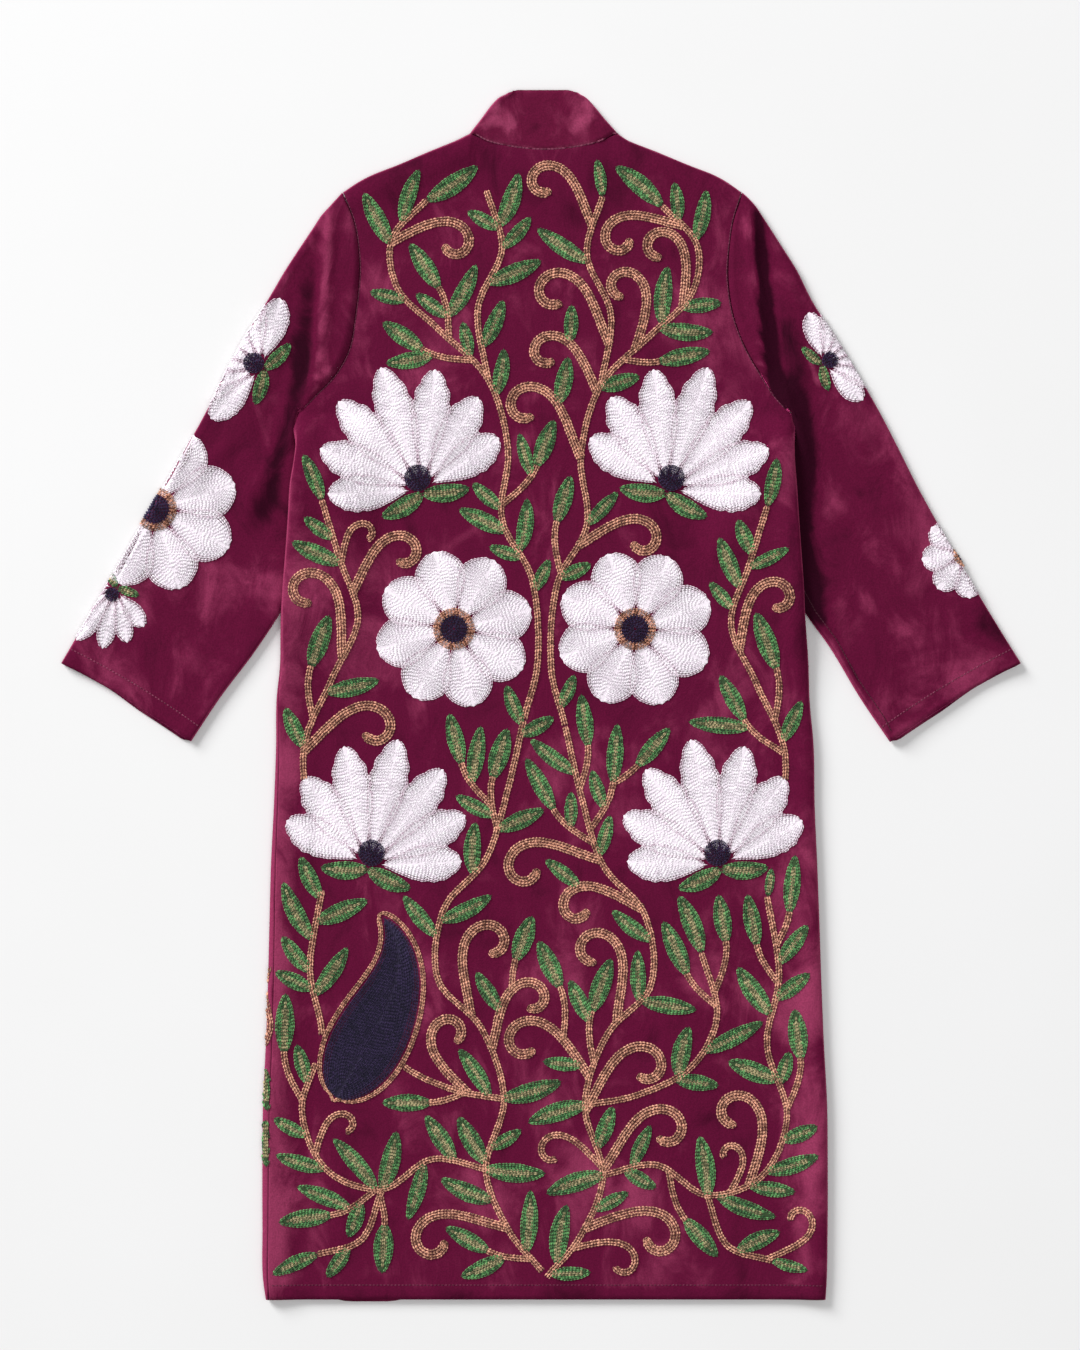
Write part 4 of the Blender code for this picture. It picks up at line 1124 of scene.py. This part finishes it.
def rounded(lean, power):
    """Profile of a leaf or petal: the lean says where it is widest, and the power how full it is."""
    return lambda share: np.clip(np.sin(np.pi * np.clip(share, 0.0, 1.0) ** lean), 0.0, 1.0) ** power


leaf_profile, petal_profile, drop_profile = rounded(0.92, 0.62), rounded(1.5, 0.62), rounded(0.62, 0.9)


def scalloped_profile(share):
    """Petal with small round steps down both sides."""
    steps = np.abs(np.sin(np.pi * SCALLOPS * share)) ** 0.6
    depth = SCALLOP_DEPTH * soft((share - 0.42) / 0.1)
    return petal_profile(share) * (1.0 - depth + depth * steps)


def shape_of(base, heading_angle, length, half_width, bends, profile):
    middle = turned_path(np.asarray(base, dtype=float), heading_angle, length, bends)
    share = lengths(middle) / lengths(middle)[-1]
    return middle, half_width * profile(share)


def fill(work, colour, middle, width, gap=ROW_GAP, height=1.5):
    for number, path in contour_rows(middle, width, gap):
        # The outer row of a white shape uses a pinker thread: painted shade and a painted pink reflection at the
        # petals' edges.
        edge = colour == "white" and number == 0
        work.sew("blush" if edge else colour, path, PITCH, gap, height * 1.2 if edge else height)
    work.pad(UNDERLAY[colour], middle, np.maximum(width - 0.9, 0.05))


def add_leaf(work, base, heading_angle, length, half_width, bend):
    """Leaf in green with a broad rib of lighter thread from its foot towards its tip."""
    middle, width = shape_of(base, heading_angle, length, half_width, [(0.0, bend), (1.0, bend)], leaf_profile)
    rib_rows = 3 if half_width > 8.4 else 2
    rib = rib_rows * LEAF_GAP / 2.0
    for number in range(5):
        inset = width - (number + 0.5) * LEAF_GAP
        keep = inset > (rib * 0.72 if number else 0.2)
        if keep.sum() < 4:
            break
        for side in (-1.0, 1.0):
            work.sew("green", stretch(beside(middle, side * np.maximum(inset, 0.0)), keep), PITCH, LEAF_GAP, 1.5)
    share = lengths(middle) / lengths(middle)[-1]
    for number in range(rib_rows):
        place = (number - (rib_rows - 1) / 2.0) * LEAF_GAP
        keep = (share > 0.04) & (share < 0.88 - 0.06 * abs(place)) & (width > abs(place) + 1.2)
        work.sew("rib", beside(middle, np.full(len(middle), place))[keep], PITCH, LEAF_GAP, 1.4)
    # Darker moss underlay below the leaf: painted shade between its rows.
    work.pad("moss_shade", middle, np.maximum(width - 0.9, 0.05))


def leaf_samples(base, heading_angle, length, half_width, bend):
    middle, width = shape_of(base, heading_angle, length, half_width, [(0.0, bend), (1.0, bend)], leaf_profile)
    inner = lengths(middle) > 15.0
    return np.concatenate([beside(middle, width * place)[inner] for place in (-1.0, -0.5, 0.0, 0.5, 1.0)])


def add_petal(work, colour, base, heading_angle, length, half_width, profile=petal_profile):
    middle, width = shape_of(base, heading_angle, length, half_width, [(0.0, 0.0), (1.0, 0.0)], profile)
    fill(work, colour, middle, width, 2.4, 1.15)
    return np.concatenate([beside(middle, width * place) for place in np.linspace(-1.0, 1.0, 9)])


def ring_rows(work, colour, centre, radius, inner=0.8, gap=ROW_GAP, height=1.6):
    """Disc or ring of concentric rows."""
    while radius > inner:
        count = max(8, int(math.pi * radius))
        angles = np.linspace(0.0, 2.0 * math.pi, count + 1)
        path = centre + radius * np.stack([np.cos(angles), np.sin(angles)], axis=1)
        work.sew(colour, path, min(PITCH, 2.0 * math.pi * radius / 3.0), gap, height)
        radius -= gap


PETAL_START, PETAL_REACH, PETAL_WIDTH = 0.16, 0.84, 0.83
RING_OUTER, RING_INNER, HEART = 0.245, 0.17, 0.165
FAN_FOOT, FAN_ANGLE, FAN_PETAL, FAN_HEART, CUP_ANGLE = 0.62, 1.30, 0.25, 0.15, 2.0
FAN_MIDDLE, FAN_LOSS, FAN_POWER = 1.62, 0.50, 1.4


def rosette(work, centre, radius, turn, petals=8):
    """Open flower of rounded petals round a navy heart."""
    centre = np.asarray(centre, dtype=float)
    half_width = radius * PETAL_WIDTH * math.sin(math.pi / petals)
    samples = []
    for index in range(petals):
        angle = turn + 2.0 * math.pi * index / petals
        towards = np.array([math.cos(angle), math.sin(angle)])
        samples.append(add_petal(work, "white", centre + towards * radius * PETAL_START, angle,
                                 radius * PETAL_REACH, half_width))
    ring_rows(work, "tan", centre, radius * RING_OUTER, radius * RING_INNER, height=2.6)
    ring_rows(work, "navy", centre, radius * HEART, height=3.2)
    return np.concatenate(samples)


def palmette(work, centre, radius, turn, petals=7):
    """Fan of petals that opens to one side, over a cup of two small leaves."""
    centre = np.asarray(centre, dtype=float)
    axis = np.array([math.cos(turn), math.sin(turn)])
    foot = centre - axis * radius * FAN_FOOT
    samples = []
    for place in sorted(np.linspace(-1.0, 1.0, petals), key=abs, reverse=True):
        angle = turn + place * FAN_ANGLE
        long = radius * (FAN_MIDDLE - FAN_LOSS * abs(place) ** FAN_POWER)
        towards = np.array([math.cos(angle), math.sin(angle)])
        samples.append(add_petal(work, "white", foot + towards * radius * PETAL_START, angle, long * 0.90,
                                 radius * FAN_PETAL, scalloped_profile))
    ring_rows(work, "navy", foot + axis * radius * PETAL_START, radius * FAN_HEART, height=2.9)
    for side in (-1.0, 1.0):
        leaf = (turn + side * CUP_ANGLE, radius * 0.60, radius * 0.115, -side * 0.010)
        add_leaf(work, foot - axis * radius * 0.04, *leaf)
        samples.append(leaf_samples(foot, *leaf))
    return np.concatenate(samples)


def boteh(work, foot, heading_angle, length, half_width):
    """Leaf drop with a bent tip, filled with rows that follow its outline."""
    bends = [(0.0, 0.0), (0.45, 0.002), (0.8, 0.014), (1.0, 0.020)]
    middle, width = shape_of(foot, heading_angle, length, half_width, bends, drop_profile)
    fill(work, "navy", middle, width, ROW_GAP, 1.9)
    tip = middle[-1] + BOTEH_POINT * (middle[-1] - middle[-2]) / np.hypot(*(middle[-1] - middle[-2]))
    heel = middle[0] - BOTEH_POINT * (middle[1] - middle[0]) / np.hypot(*(middle[1] - middle[0]))
    for reach in (3.4, 5.8):
        sides = [beside(middle, side * (width + reach)) for side in (1.0, -1.0)]
        ring = np.concatenate([[heel], sides[0], [tip], sides[1][::-1], [heel]])
        work.sew("tan", resample(ring, 2.0), height=1.5)
    return np.concatenate([beside(middle, (width + 6.4) * place) for place in np.linspace(-1.0, 1.0, 25)])


BACK_MOTIFS = [
    (palmette, (142, 252), 80, 1.25), (palmette, (-135, 252), 80, 1.89),
    (rosette, (94, 66), 80, 0.35), (rosette, (-87, 66), 80, 0.25),
    (palmette, (168, -122), 80, 1.80), (palmette, (-161, -122), 80, 1.34),
]
LEFT_SLEEVE_MOTIFS = [
    (palmette, (-312, 346), 62, 2.62), (rosette, (-386, 186), 84, 0.30), (palmette, (-440, 86), 40, 4.05),
]
RIGHT_SLEEVE_MOTIFS = [(palmette, (307, 346), 46, 0.55), (rosette, (424, 140), 44, 0.10)]
BOTEH_FOOT = (-206.0, -402.0)
STEMS = [
    line(6, -582, 40, -540, 62, -480, 44, -410, 66, -340, 110, -290, 104, -220, 62, -170, 40, -100, 24, -30),
    line(62, -480, 116, -470, 166, -500, 222, -480, 246, -420, 226, -350, 238, -280, 226, -200),
    line(24, -30, 10, 30, 16, 110, 46, 170, 40, 240, 60, 310, 110, 360, 150, 400, 156, 450, 120, 490),
    line(236, -150, 244, -60, 216, 10, 190, 70, 208, 130, 226, 190),
    line(60, 310, 70, 380, 46, 440, 62, 500),
    line(166, -500, 186, -550, 232, -566),
    line(44, -410, 96, -400, 150, -372, 176, -320, 160, -256),
]
MIDDLE = 3.5
UNDER = 3
SHORTEST_PART = 14
BRANCH_FOOT = 9
CURL_LENGTH, TWIG_LENGTH, TIP_LENGTH, TIP_WIDTH = 150.0, 56.0, 62.0, 9.6
BRANCH_ROOM, LEAF_ROOM = 3.4, 0.9
CURL_REACH, LEAF_REACH, TWIG_LEAF_REACH, STEM_REACH = 7.4, 4.6, 3.8, 4.4


def place_curl(work, field, start, angle, side, length, rows):
    """Branch that winds into a spiral, if it fits."""
    tight = side * (130.0 / length) ** 0.9
    bends = [(0.0, -side * rng.uniform(0.0, 0.010)), (0.32, tight * 0.010), (0.62, tight * 0.050),
             (0.86, tight * 0.080), (1.0, tight * rng.uniform(0.085, 0.10))]
    path = turned_path(start, angle, length, bends)
    if not field.free(path[BRANCH_FOOT:], BRANCH_ROOM):
        return None
    work.stem(path, rows, 0.10)
    field.take(path, CURL_REACH)
    return path


def place_leaf(work, field, *leaf):
    samples = leaf_samples(*leaf)
    if not field.free(samples, LEAF_ROOM):
        return False
    add_leaf(work, *leaf)
    field.take(samples, LEAF_REACH)
    return True


def place_twig(work, field, start, angle, side, length):
    """Short bent branch with a leaf at its tip, if it fits."""
    path = turned_path(start, angle, length, [(0.0, side * 0.004), (0.5, -side * 0.012), (1.0, -side * 0.020)])
    leaf = (path[-3], headings(path)[-1], rng.uniform(48.0, 62.0), rng.uniform(8.2, 10.0), 0.0)
    samples = leaf_samples(*leaf)
    if not field.free(path[BRANCH_FOOT:], BRANCH_ROOM) or not field.free(samples, LEAF_ROOM):
        return None
    work.stem(path, 2)
    add_leaf(work, *leaf)
    field.take(path, STEM_REACH)
    field.take(samples, TWIG_LEAF_REACH)
    return path


def try_branch(work, field, kind, size, start, angle, side):
    """One curl, twig or leaf from a stem: False where it doesn't fit, else the new path or None."""
    if kind == "leaf":
        tilt = angle + side * rng.uniform(0.45, 1.0)
        fits = place_leaf(work, field, start, tilt, rng.uniform(52.0, 68.0) * size,
                          rng.uniform(8.2, 10.0) * (0.35 + 0.65 * size), -side * rng.uniform(0.0, 0.007))
        return None if fits else False
    angle += side * rng.uniform(0.5, 0.9)
    if kind == "twig":
        path = place_twig(work, field, start, angle, side, TWIG_LENGTH * size)
        return False if path is None else path
    path = place_curl(work, field, start, angle, side, CURL_LENGTH * size, 3 if size > 0.7 else 2)
    return False if path is None else path[:int(len(path) * 0.55)]


Pass = namedtuple("Pass", "spacing curl_share curls twigs leaves")
PASSES = [
    Pass(62.0, 0.62, (1.0, 0.85), (1.0,), (1.0,)),
    Pass(36.0, 0.34, (0.85, 0.7), (1.0, 0.85), (1.0, 0.9)),
    Pass(24.0, 0.25, (0.66, 0.55), (0.9, 0.7), (1.0, 0.85)),
    Pass(16.0, 0.20, (0.5,), (0.6,), (0.95, 0.8, 0.7)),
    Pass(14.0, 0.0, (), (0.5,), (0.8, 0.66)),
]


KINDS = ("curl", "twig", "leaf")
TIP_LEAVES = [(size, turn) for size in (1.0, 0.8, 0.62, 0.48) for turn in (0.0, 0.35, -0.35)]


def grow(work, field, stems):
    """Dress stems, and the branches that come from them, wherever something fits."""
    paths = list(stems)
    for path in stems:
        for end, angle in ((path[-2], headings(path)[-1]), (path[1], headings(path)[0] + math.pi)):
            for size, turn in TIP_LEAVES:
                if place_leaf(work, field, end, angle + turn, TIP_LENGTH * size, TIP_WIDTH * size, 0.004):
                    break
    for row in PASSES:
        fresh = []
        for path in paths:
            angles, along = headings(path), lengths(path)
            place = row.spacing * rng.uniform(0.2, 0.7)
            side = 1.0 if rng.random() < 0.5 else -1.0
            while place < along[-1]:
                index = int(np.searchsorted(along, place))
                curls, twigs, leaves = [[(kind, size) for size in sizes] for kind, sizes in zip(KINDS, row[2:])]
                chance = rng.random()
                if chance < row.curl_share:
                    options = curls + twigs + leaves
                elif chance < 0.5 + 0.5 * row.curl_share:
                    options = twigs + leaves + curls
                else:
                    options = leaves + twigs + curls
                for kind, size in options:
                    grown = try_branch(work, field, kind, size, path[index], angles[index], side)
                    if grown is not False:
                        if grown is not None and len(grown) > 8:
                            fresh.append(grown)
                        break
                side = -side
                place += row.spacing * rng.uniform(0.42, 0.58)
        paths += fresh


def split_stem(path, field, margin):
    """The stretches of a stem that don't run under another motif."""
    clear = [field.free(path[index:index + 1], margin) for index in range(len(path))] + [False]
    parts, start = [], 0
    for index, free in enumerate(clear):
        if not free:
            if index - start > SHORTEST_PART:
                parts.append(path[max(start - UNDER, 0):index + UNDER])
            start = index + 1
    return parts


def sew_motifs(work, motifs):
    return [shape(work, *values) for shape, *values in motifs]


def embroider_back():
    work, field = Work(), Field()
    for samples in sew_motifs(work, BACK_MOTIFS):
        field.take(samples, 2.0)
    field.take(boteh(work, BOTEH_FOOT, 1.02, 200.0, 36.0), 3.0)
    kept = []
    for stem in STEMS:
        for mirror, shift in ((1.0, 0.0), (-1.0, 6.0)):
            points = [(MIDDLE + mirror * (x - MIDDLE), y + shift) for x, y in stem]
            for part in split_stem(spline(points), field, 0.5):
                work.stem(part, 2)
                kept.append(part)
    for part in kept:
        field.take(part, STEM_REACH)
    grow(work, field, kept)
    return work


LOBE = np.array([
    (-0.74, 0.34, 0.02), (0.66, 0.12, 0.22),
    (-0.04, 0.58, 0.16), (-0.04, 0.31, 1.0), (-0.04, 0.06, 0.40), (-0.04, 0.29, -0.25),
])
LOWEST = 0.05
LINK_LENGTH, LINK_WIDTH = 1.12, 1.04
TONE_LOW, TONE_RANGE = 0.30, 0.55
# Painted shade and highlight on each link: its tail, inner side and underside darker, its top lighter.
LOBE_SHADING = np.array([-0.20, -0.04, -0.04, 0.10, -0.16, -0.3])
LOBE_FACES = np.array([(0, 3, 2), (0, 4, 3), (0, 5, 4), (0, 2, 5), (1, 2, 3), (1, 3, 4), (1, 4, 5), (1, 5, 2)])


# Underlay tone, low so that the underlay reads a little darker than most stitches: painted shade below them.
PAD_TONE, PAD_LOW, PAD_RISE = 0.35, -0.25, 0.7


def stitch_mesh(name, entries, origins, normals, material):
    """One joined mesh of chain links: two lobes a link, lying along its row."""
    count = len(entries)
    heading_angle, size, width, height = entries[:, 2:6].T
    flat = np.stack([np.cos(heading_angle), np.sin(heading_angle), np.zeros(count)], axis=1)
    along = flat - normals * (flat * normals).sum(axis=1)[:, None]
    along /= np.linalg.norm(along, axis=1)[:, None]
    across = np.cross(normals, along)
    u, v, h = LOBE.T[:, None, :] * np.stack([size * LINK_LENGTH, width * LINK_WIDTH, height])[:, :, None]
    lobes = [origins[:, None, :] + u[..., None] * along[:, None, :] + side * v[..., None] * across[:, None, :]
             + h[..., None] * normals[:, None, :] for side in (1.0, -1.0)]
    vertices = np.concatenate(lobes, axis=1).reshape(-1, 3)
    vertices[:, 2] = np.maximum(vertices[:, 2], LOWEST)
    faces = np.concatenate([LOBE_FACES, LOBE_FACES[:, ::-1] + len(LOBE)])
    faces = (faces[None] + (np.arange(count) * 2 * len(LOBE))[:, None, None]).reshape(-1, 3)
    made = new_object(name, vertices, faces, material)
    tones = TONE_LOW + TONE_RANGE * np.random.default_rng(7 + count).random(count)
    # Each link's random tone, plus painted shade at the lobes' ends and underside and a painted highlight on top.
    point_values(made, "tone", tones[:, None] + np.tile(LOBE_SHADING, 2)[None, :])
    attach(made, "root")
    return made


RAY_TOP = 0.2


def lay_on(points, tree):
    """Place and normal of plan points on a cloth face, seen from above, with a mark for those that miss it."""
    origins = np.zeros((len(points), 3))
    normals = np.tile((0.0, 0.0, 1.0), (len(points), 1))
    hit = np.zeros(len(points), dtype=bool)
    for index, (x, y) in enumerate(points):
        place, normal = tree.ray_cast(Vector((x * MM, y * MM, RAY_TOP)), Vector((0.0, 0.0, -1.0)))[:2]
        if place is not None:
            hit[index] = True
            origins[index] = place / MM
            normals[index] = normal if normal.z > 0.0 else -normal
    return origins, normals, hit


def pad_mesh(name, grids, lay, material):
    """Joined mesh of the thread layer below the stitches, domed over each shape."""
    vertices, faces, start = [], [], 0
    for grid in grids:
        rows, columns = grid.shape[:2]
        origins, normals, hit = lay(grid.reshape(-1, 2))
        dome = 1.0 - np.linspace(-1.0, 1.0, columns) ** 2
        lift = PAD_LOW + PAD_RISE * np.tile(dome, rows)
        quads = grid_faces(rows, columns, False, True)
        vertices.append(origins + normals * lift[:, None])
        faces.append(quads[hit[quads].all(axis=1)] + start)
        start += rows * columns
    if not vertices:
        return None
    faces = np.concatenate(faces)
    used = np.unique(faces)
    if len(used) == 0:
        return None
    places = np.concatenate(vertices)[used]
    places[:, 2] = np.maximum(places[:, 2], LOWEST)
    made = new_object(name, places, np.searchsorted(used, faces), material)
    # A low tone on all of the underlay: painted shade between the rows above it.
    point_values(made, "tone", np.full(len(made.data.vertices), PAD_TONE))
    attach(made, "root")
    return made


# The last number of the tan, green and rib threads sets how dark their painted shade between stitches is.
THREADS = {
    "tan": thread("thread_tan", (0.110, 0.036, 0.018), (0.86, 0.43, 0.290), (0.9, 0.8, 0.6), 1.3, 0.55),
    "green": thread("thread_green", (0.004, 0.034, 0.008), (0.165, 0.45, 0.150), (0.7, 0.9, 0.7), 2.1, 0.50),
    "rib": thread("thread_rib", (0.09, 0.080, 0.034), (0.60, 0.49, 0.27), (0.9, 0.9, 0.7), 3.4, 0.50),
    "white": thread("thread_white", (0.78, 0.69, 0.77), (0.92, 0.88, 0.92), (1.0, 1.0, 1.0), 4.8),
    # Pinker white for the outer rows of white shapes: painted shade and painted pink reflection at their edges.
    "blush": thread("thread_white_edge_shade", (0.58, 0.42, 0.52), (0.86, 0.76, 0.83), (1.0, 1.0, 1.0), 7.2),
    "navy": thread("thread_navy", (0.005, 0.003, 0.014), (0.034, 0.018, 0.068), (0.5, 0.5, 0.8), 5.5),
    # Dark moss green for the leaves' underlay, painted shade between the rows.
    "moss_shade": thread("thread_moss_shade", (0.020, 0.045, 0.014), (0.045, 0.095, 0.030), (0.7, 0.9, 0.7), 6.1),
}
SEAM = thread("thread_seam", (0.040, 0.004, 0.014), (0.075, 0.010, 0.028), (0.8, 0.4, 0.5), 6.6)
PALE_SEAM = thread("thread_seam_pale", (0.110, 0.012, 0.040), (0.340, 0.075, 0.150), (0.9, 0.5, 0.6), 7.7)
SOFT_SEAM = thread("thread_seam_soft", (0.070, 0.006, 0.024), (0.200, 0.030, 0.080), (0.9, 0.5, 0.6), 8.8)
PIECE_LIMIT = 12000


def sew_pieces(prefix, work, lay):
    """Meshes of one piece of embroidery, a few for each colour."""
    made = []
    for colour, rows in work.rows.items():
        entries = np.concatenate(rows)
        origins, normals, hit = lay(entries[:, :2])
        entries, origins, normals = entries[hit], origins[hit], normals[hit]
        for part, first in enumerate(range(0, len(entries), PIECE_LIMIT)):
            some = slice(first, first + PIECE_LIMIT)
            made.append(stitch_mesh(f"{prefix}_stitches_{colour}_{part + 1}", entries[some], origins[some],
                                    normals[some], THREADS[colour]))
    for colour, grids in work.pads.items():
        pad = pad_mesh(f"{prefix}_underlay_{colour}", grids, lay, THREADS[colour])
        if pad is not None:
            made.append(pad)
    return made


back_pieces = sew_pieces("back", embroider_back(), lambda points: lay_on(points, back_tree))

FOLD_REACH = 0.40


def lay_round(tree, outer):
    """Like lay_on, but points beyond the sleeve's outer fold turn down round it."""
    path = spline(outer, 1.0)
    sides = headings(path)
    inward = np.stack([-np.sin(sides), np.cos(sides)], axis=1)
    if float(inward[len(path) // 2] @ (np.array((0.0, 100.0)) - path[len(path) // 2])) < 0.0:
        inward = -inward

    def lay(points):
        nearest = np.argmin(((points[:, None, :] - path[None, ::3, :]) ** 2).sum(axis=2), axis=1) * 3
        depth = ((points - path[nearest]) * inward[nearest]).sum(axis=1)
        ends = (nearest > 3) & (nearest < len(path) - 4)
        turned = depth < FOLD_RADIUS
        angle = (depth + FOLD_RADIUS * (math.pi / 2.0 - 1.0)) / FOLD_RADIUS
        origins, normals, hit = lay_on(points, tree)
        foot = points - depth[:, None] * inward[nearest]
        reach = FOLD_RADIUS * (1.0 - np.cos(angle))
        fold = np.concatenate([foot + reach[:, None] * inward[nearest],
                               (FOLD_RADIUS + FOLD_RADIUS * np.sin(angle))[:, None]], axis=1)
        outwards = np.concatenate([-inward[nearest] * np.cos(angle)[:, None], np.sin(angle)[:, None]], axis=1)
        for index in np.flatnonzero(turned & ends):
            origins[index] = tree.find_nearest(Vector(fold[index] * MM))[0] / MM
            normals[index] = outwards[index]
        hit = np.where(turned, ends & (angle > -FOLD_REACH), hit)
        return origins, normals, hit

    return lay


def sew_sleeve(side, motifs, tree):
    work = Work()
    sew_motifs(work, motifs)
    return sew_pieces(f"sleeve_{side}", work, lay_round(tree, HALVES[side].outer))


left_pieces = sew_sleeve("left", LEFT_SLEEVE_MOTIFS, sleeve_left_tree)
right_pieces = sew_sleeve("right", RIGHT_SLEEVE_MOTIFS, sleeve_right_tree)

SEAM_PITCH = 3.6
ARMHOLE_LOW, ARMHOLE_HIGH = 287.0, 505.0
NECK_LINE_LOW = 4.2


def seam_stitches(name, path, tree, sewing, width=1.0, part=0.62):
    """A line of small sewing stitches: part is the share of the line that each one covers."""
    entries = stitch_entries(resample(np.asarray(path, dtype=float), SEAM_PITCH), width, 0.5, part)
    origins, normals, hit = lay_on(entries[:, :2], tree)
    return stitch_mesh(name, entries[hit], origins[hit], normals[hit], sewing)


def cuff_line(half):
    """Stitch line across a sleeve, a little above its cuff edge."""
    fold, under = (at_length(path, lengths(path)[-1] - CUFF_LINE) for path in (half.outer, half.underarm))
    run = under - fold
    along = np.array([-run[1], run[0]]) / np.hypot(*run) * (-half.sign)
    shares = np.linspace(0.01, 0.99, 40)[:, None]
    return fold + run * shares + along * CUFF_BULGE * 4.0 * shares * (1.0 - shares)


def armhole_line(sign):
    """Plan points just inside the back's edge along an armhole."""
    edge = back_grid[:, 0 if sign * back_grid[0, 0, 0] > 0 else -1]
    return [(x - sign * 0.4, y) for x, y, z in edge if ARMHOLE_LOW < y < ARMHOLE_HIGH]


hem_left, hem_right = SIDE_LINES[0].left, SIDE_LINES[0].right
hem_line = [(hem_left + 6.0, HEM + HEM_LINE), (hem_right - 3.0, HEM + HEM_LINE)]
neck_line = [(x, y) for x, y, z in collar_grid[0] if z > NECK_LINE_LOW]
back_pieces += [
    seam_stitches("hem_stitches", hem_line, back_tree, SOFT_SEAM),
    seam_stitches("armhole_seam_left", armhole_line(-1.0), back_tree, SOFT_SEAM, 0.7, 1.2),
    seam_stitches("armhole_seam_right", armhole_line(1.0), back_tree, SOFT_SEAM, 0.9, 1.2),
]
left_pieces.append(seam_stitches("cuff_stitches_left", cuff_line(LEFT), sleeve_left_tree, PALE_SEAM))
right_pieces += [
    seam_stitches("cuff_stitches_right", cuff_line(RIGHT), sleeve_right_tree, PALE_SEAM),
    seam_stitches("underarm_seam_stitches", RIGHT_SLEEVE_CREASES[0].points, sleeve_right_tree, SEAM,
                  0.8, 1.1),
]
collar_pieces = [seam_stitches("neck_seam_stitches", neck_line, collar_tree, PALE_SEAM, 1.2, 1.2)]

edge_work = Work()
edge_work.stem(spline(line(-272.5, -272, -275, -300, -270.5, -330, -276.5, -352)), 2)
add_leaf(edge_work, (-276.5, -372.0), -1.50, 44.0, 6.5, 0.0)
add_leaf(edge_work, (-275.0, -424.0), -1.56, 48.0, 6.5, 0.0)
edge_pieces = sew_pieces("edge", edge_work, lambda points: lay_on(points, front_left_tree))


def floor_material():
    looks = Looks("pale_floor")
    tone = looks.spread(looks.noise(looks.place, 3.0), 0.3, 0.7)
    colour = looks.mixed(tone, (0.77, 0.77, 0.77, 1.0), (0.78, 0.78, 0.782, 1.0))
    return looks.finish(Base_Color=colour, Roughness=0.9)


FLOOR_REACH, FLOOR_LEVEL = 6.0, -0.0004
floor_mesh = bpy.data.meshes.new("floor")
floor_corners = line(-1, -1, 1, -1, 1, 1, -1, 1) * FLOOR_REACH
floor_mesh.from_pydata([(x, y, FLOOR_LEVEL) for x, y in floor_corners.tolist()], [], [(0, 1, 2, 3)])
floor_mesh.materials.append(floor_material())
floor = bpy.data.objects.new("floor", floor_mesh)
bpy.context.scene.collection.objects.link(floor)


def soft_light(name, place, aim, size, power):
    data = bpy.data.lights.new(name, "AREA")
    data.shape = "SQUARE"
    data.size = size
    data.energy = power
    light = bpy.data.objects.new(name, data)
    light.location = place
    light.rotation_euler = (Vector(aim) - Vector(place)).to_track_quat("-Z", "Y").to_euler()
    bpy.context.scene.collection.objects.link(light)


soft_light("window_light", (-7.6, 7.2, 4.9), (0.0, 0.0, 0.0), 4.8, 1850.0)
soft_light("overhead_light", (0.9, -0.7, 4.6), (0.1, -0.1, 0.0), 3.0, 75.0)

world = bpy.data.worlds.new("studio")
world.use_nodes = True
background = world.node_tree.nodes["Background"]
background.inputs["Color"].default_value = (1.0, 1.0, 1.0, 1.0)
background.inputs["Strength"].default_value = 0.33
bpy.context.scene.world = world
bpy.context.scene.view_settings.view_transform = "Standard"

camera_data = bpy.data.cameras.new("camera")
camera_data.lens = 85.0
camera_data.sensor_width = 36.0
camera = bpy.data.objects.new("camera", camera_data)
camera.location = (-0.001, 0.020, 3.192)
bpy.context.scene.collection.objects.link(camera)
bpy.context.scene.camera = camera
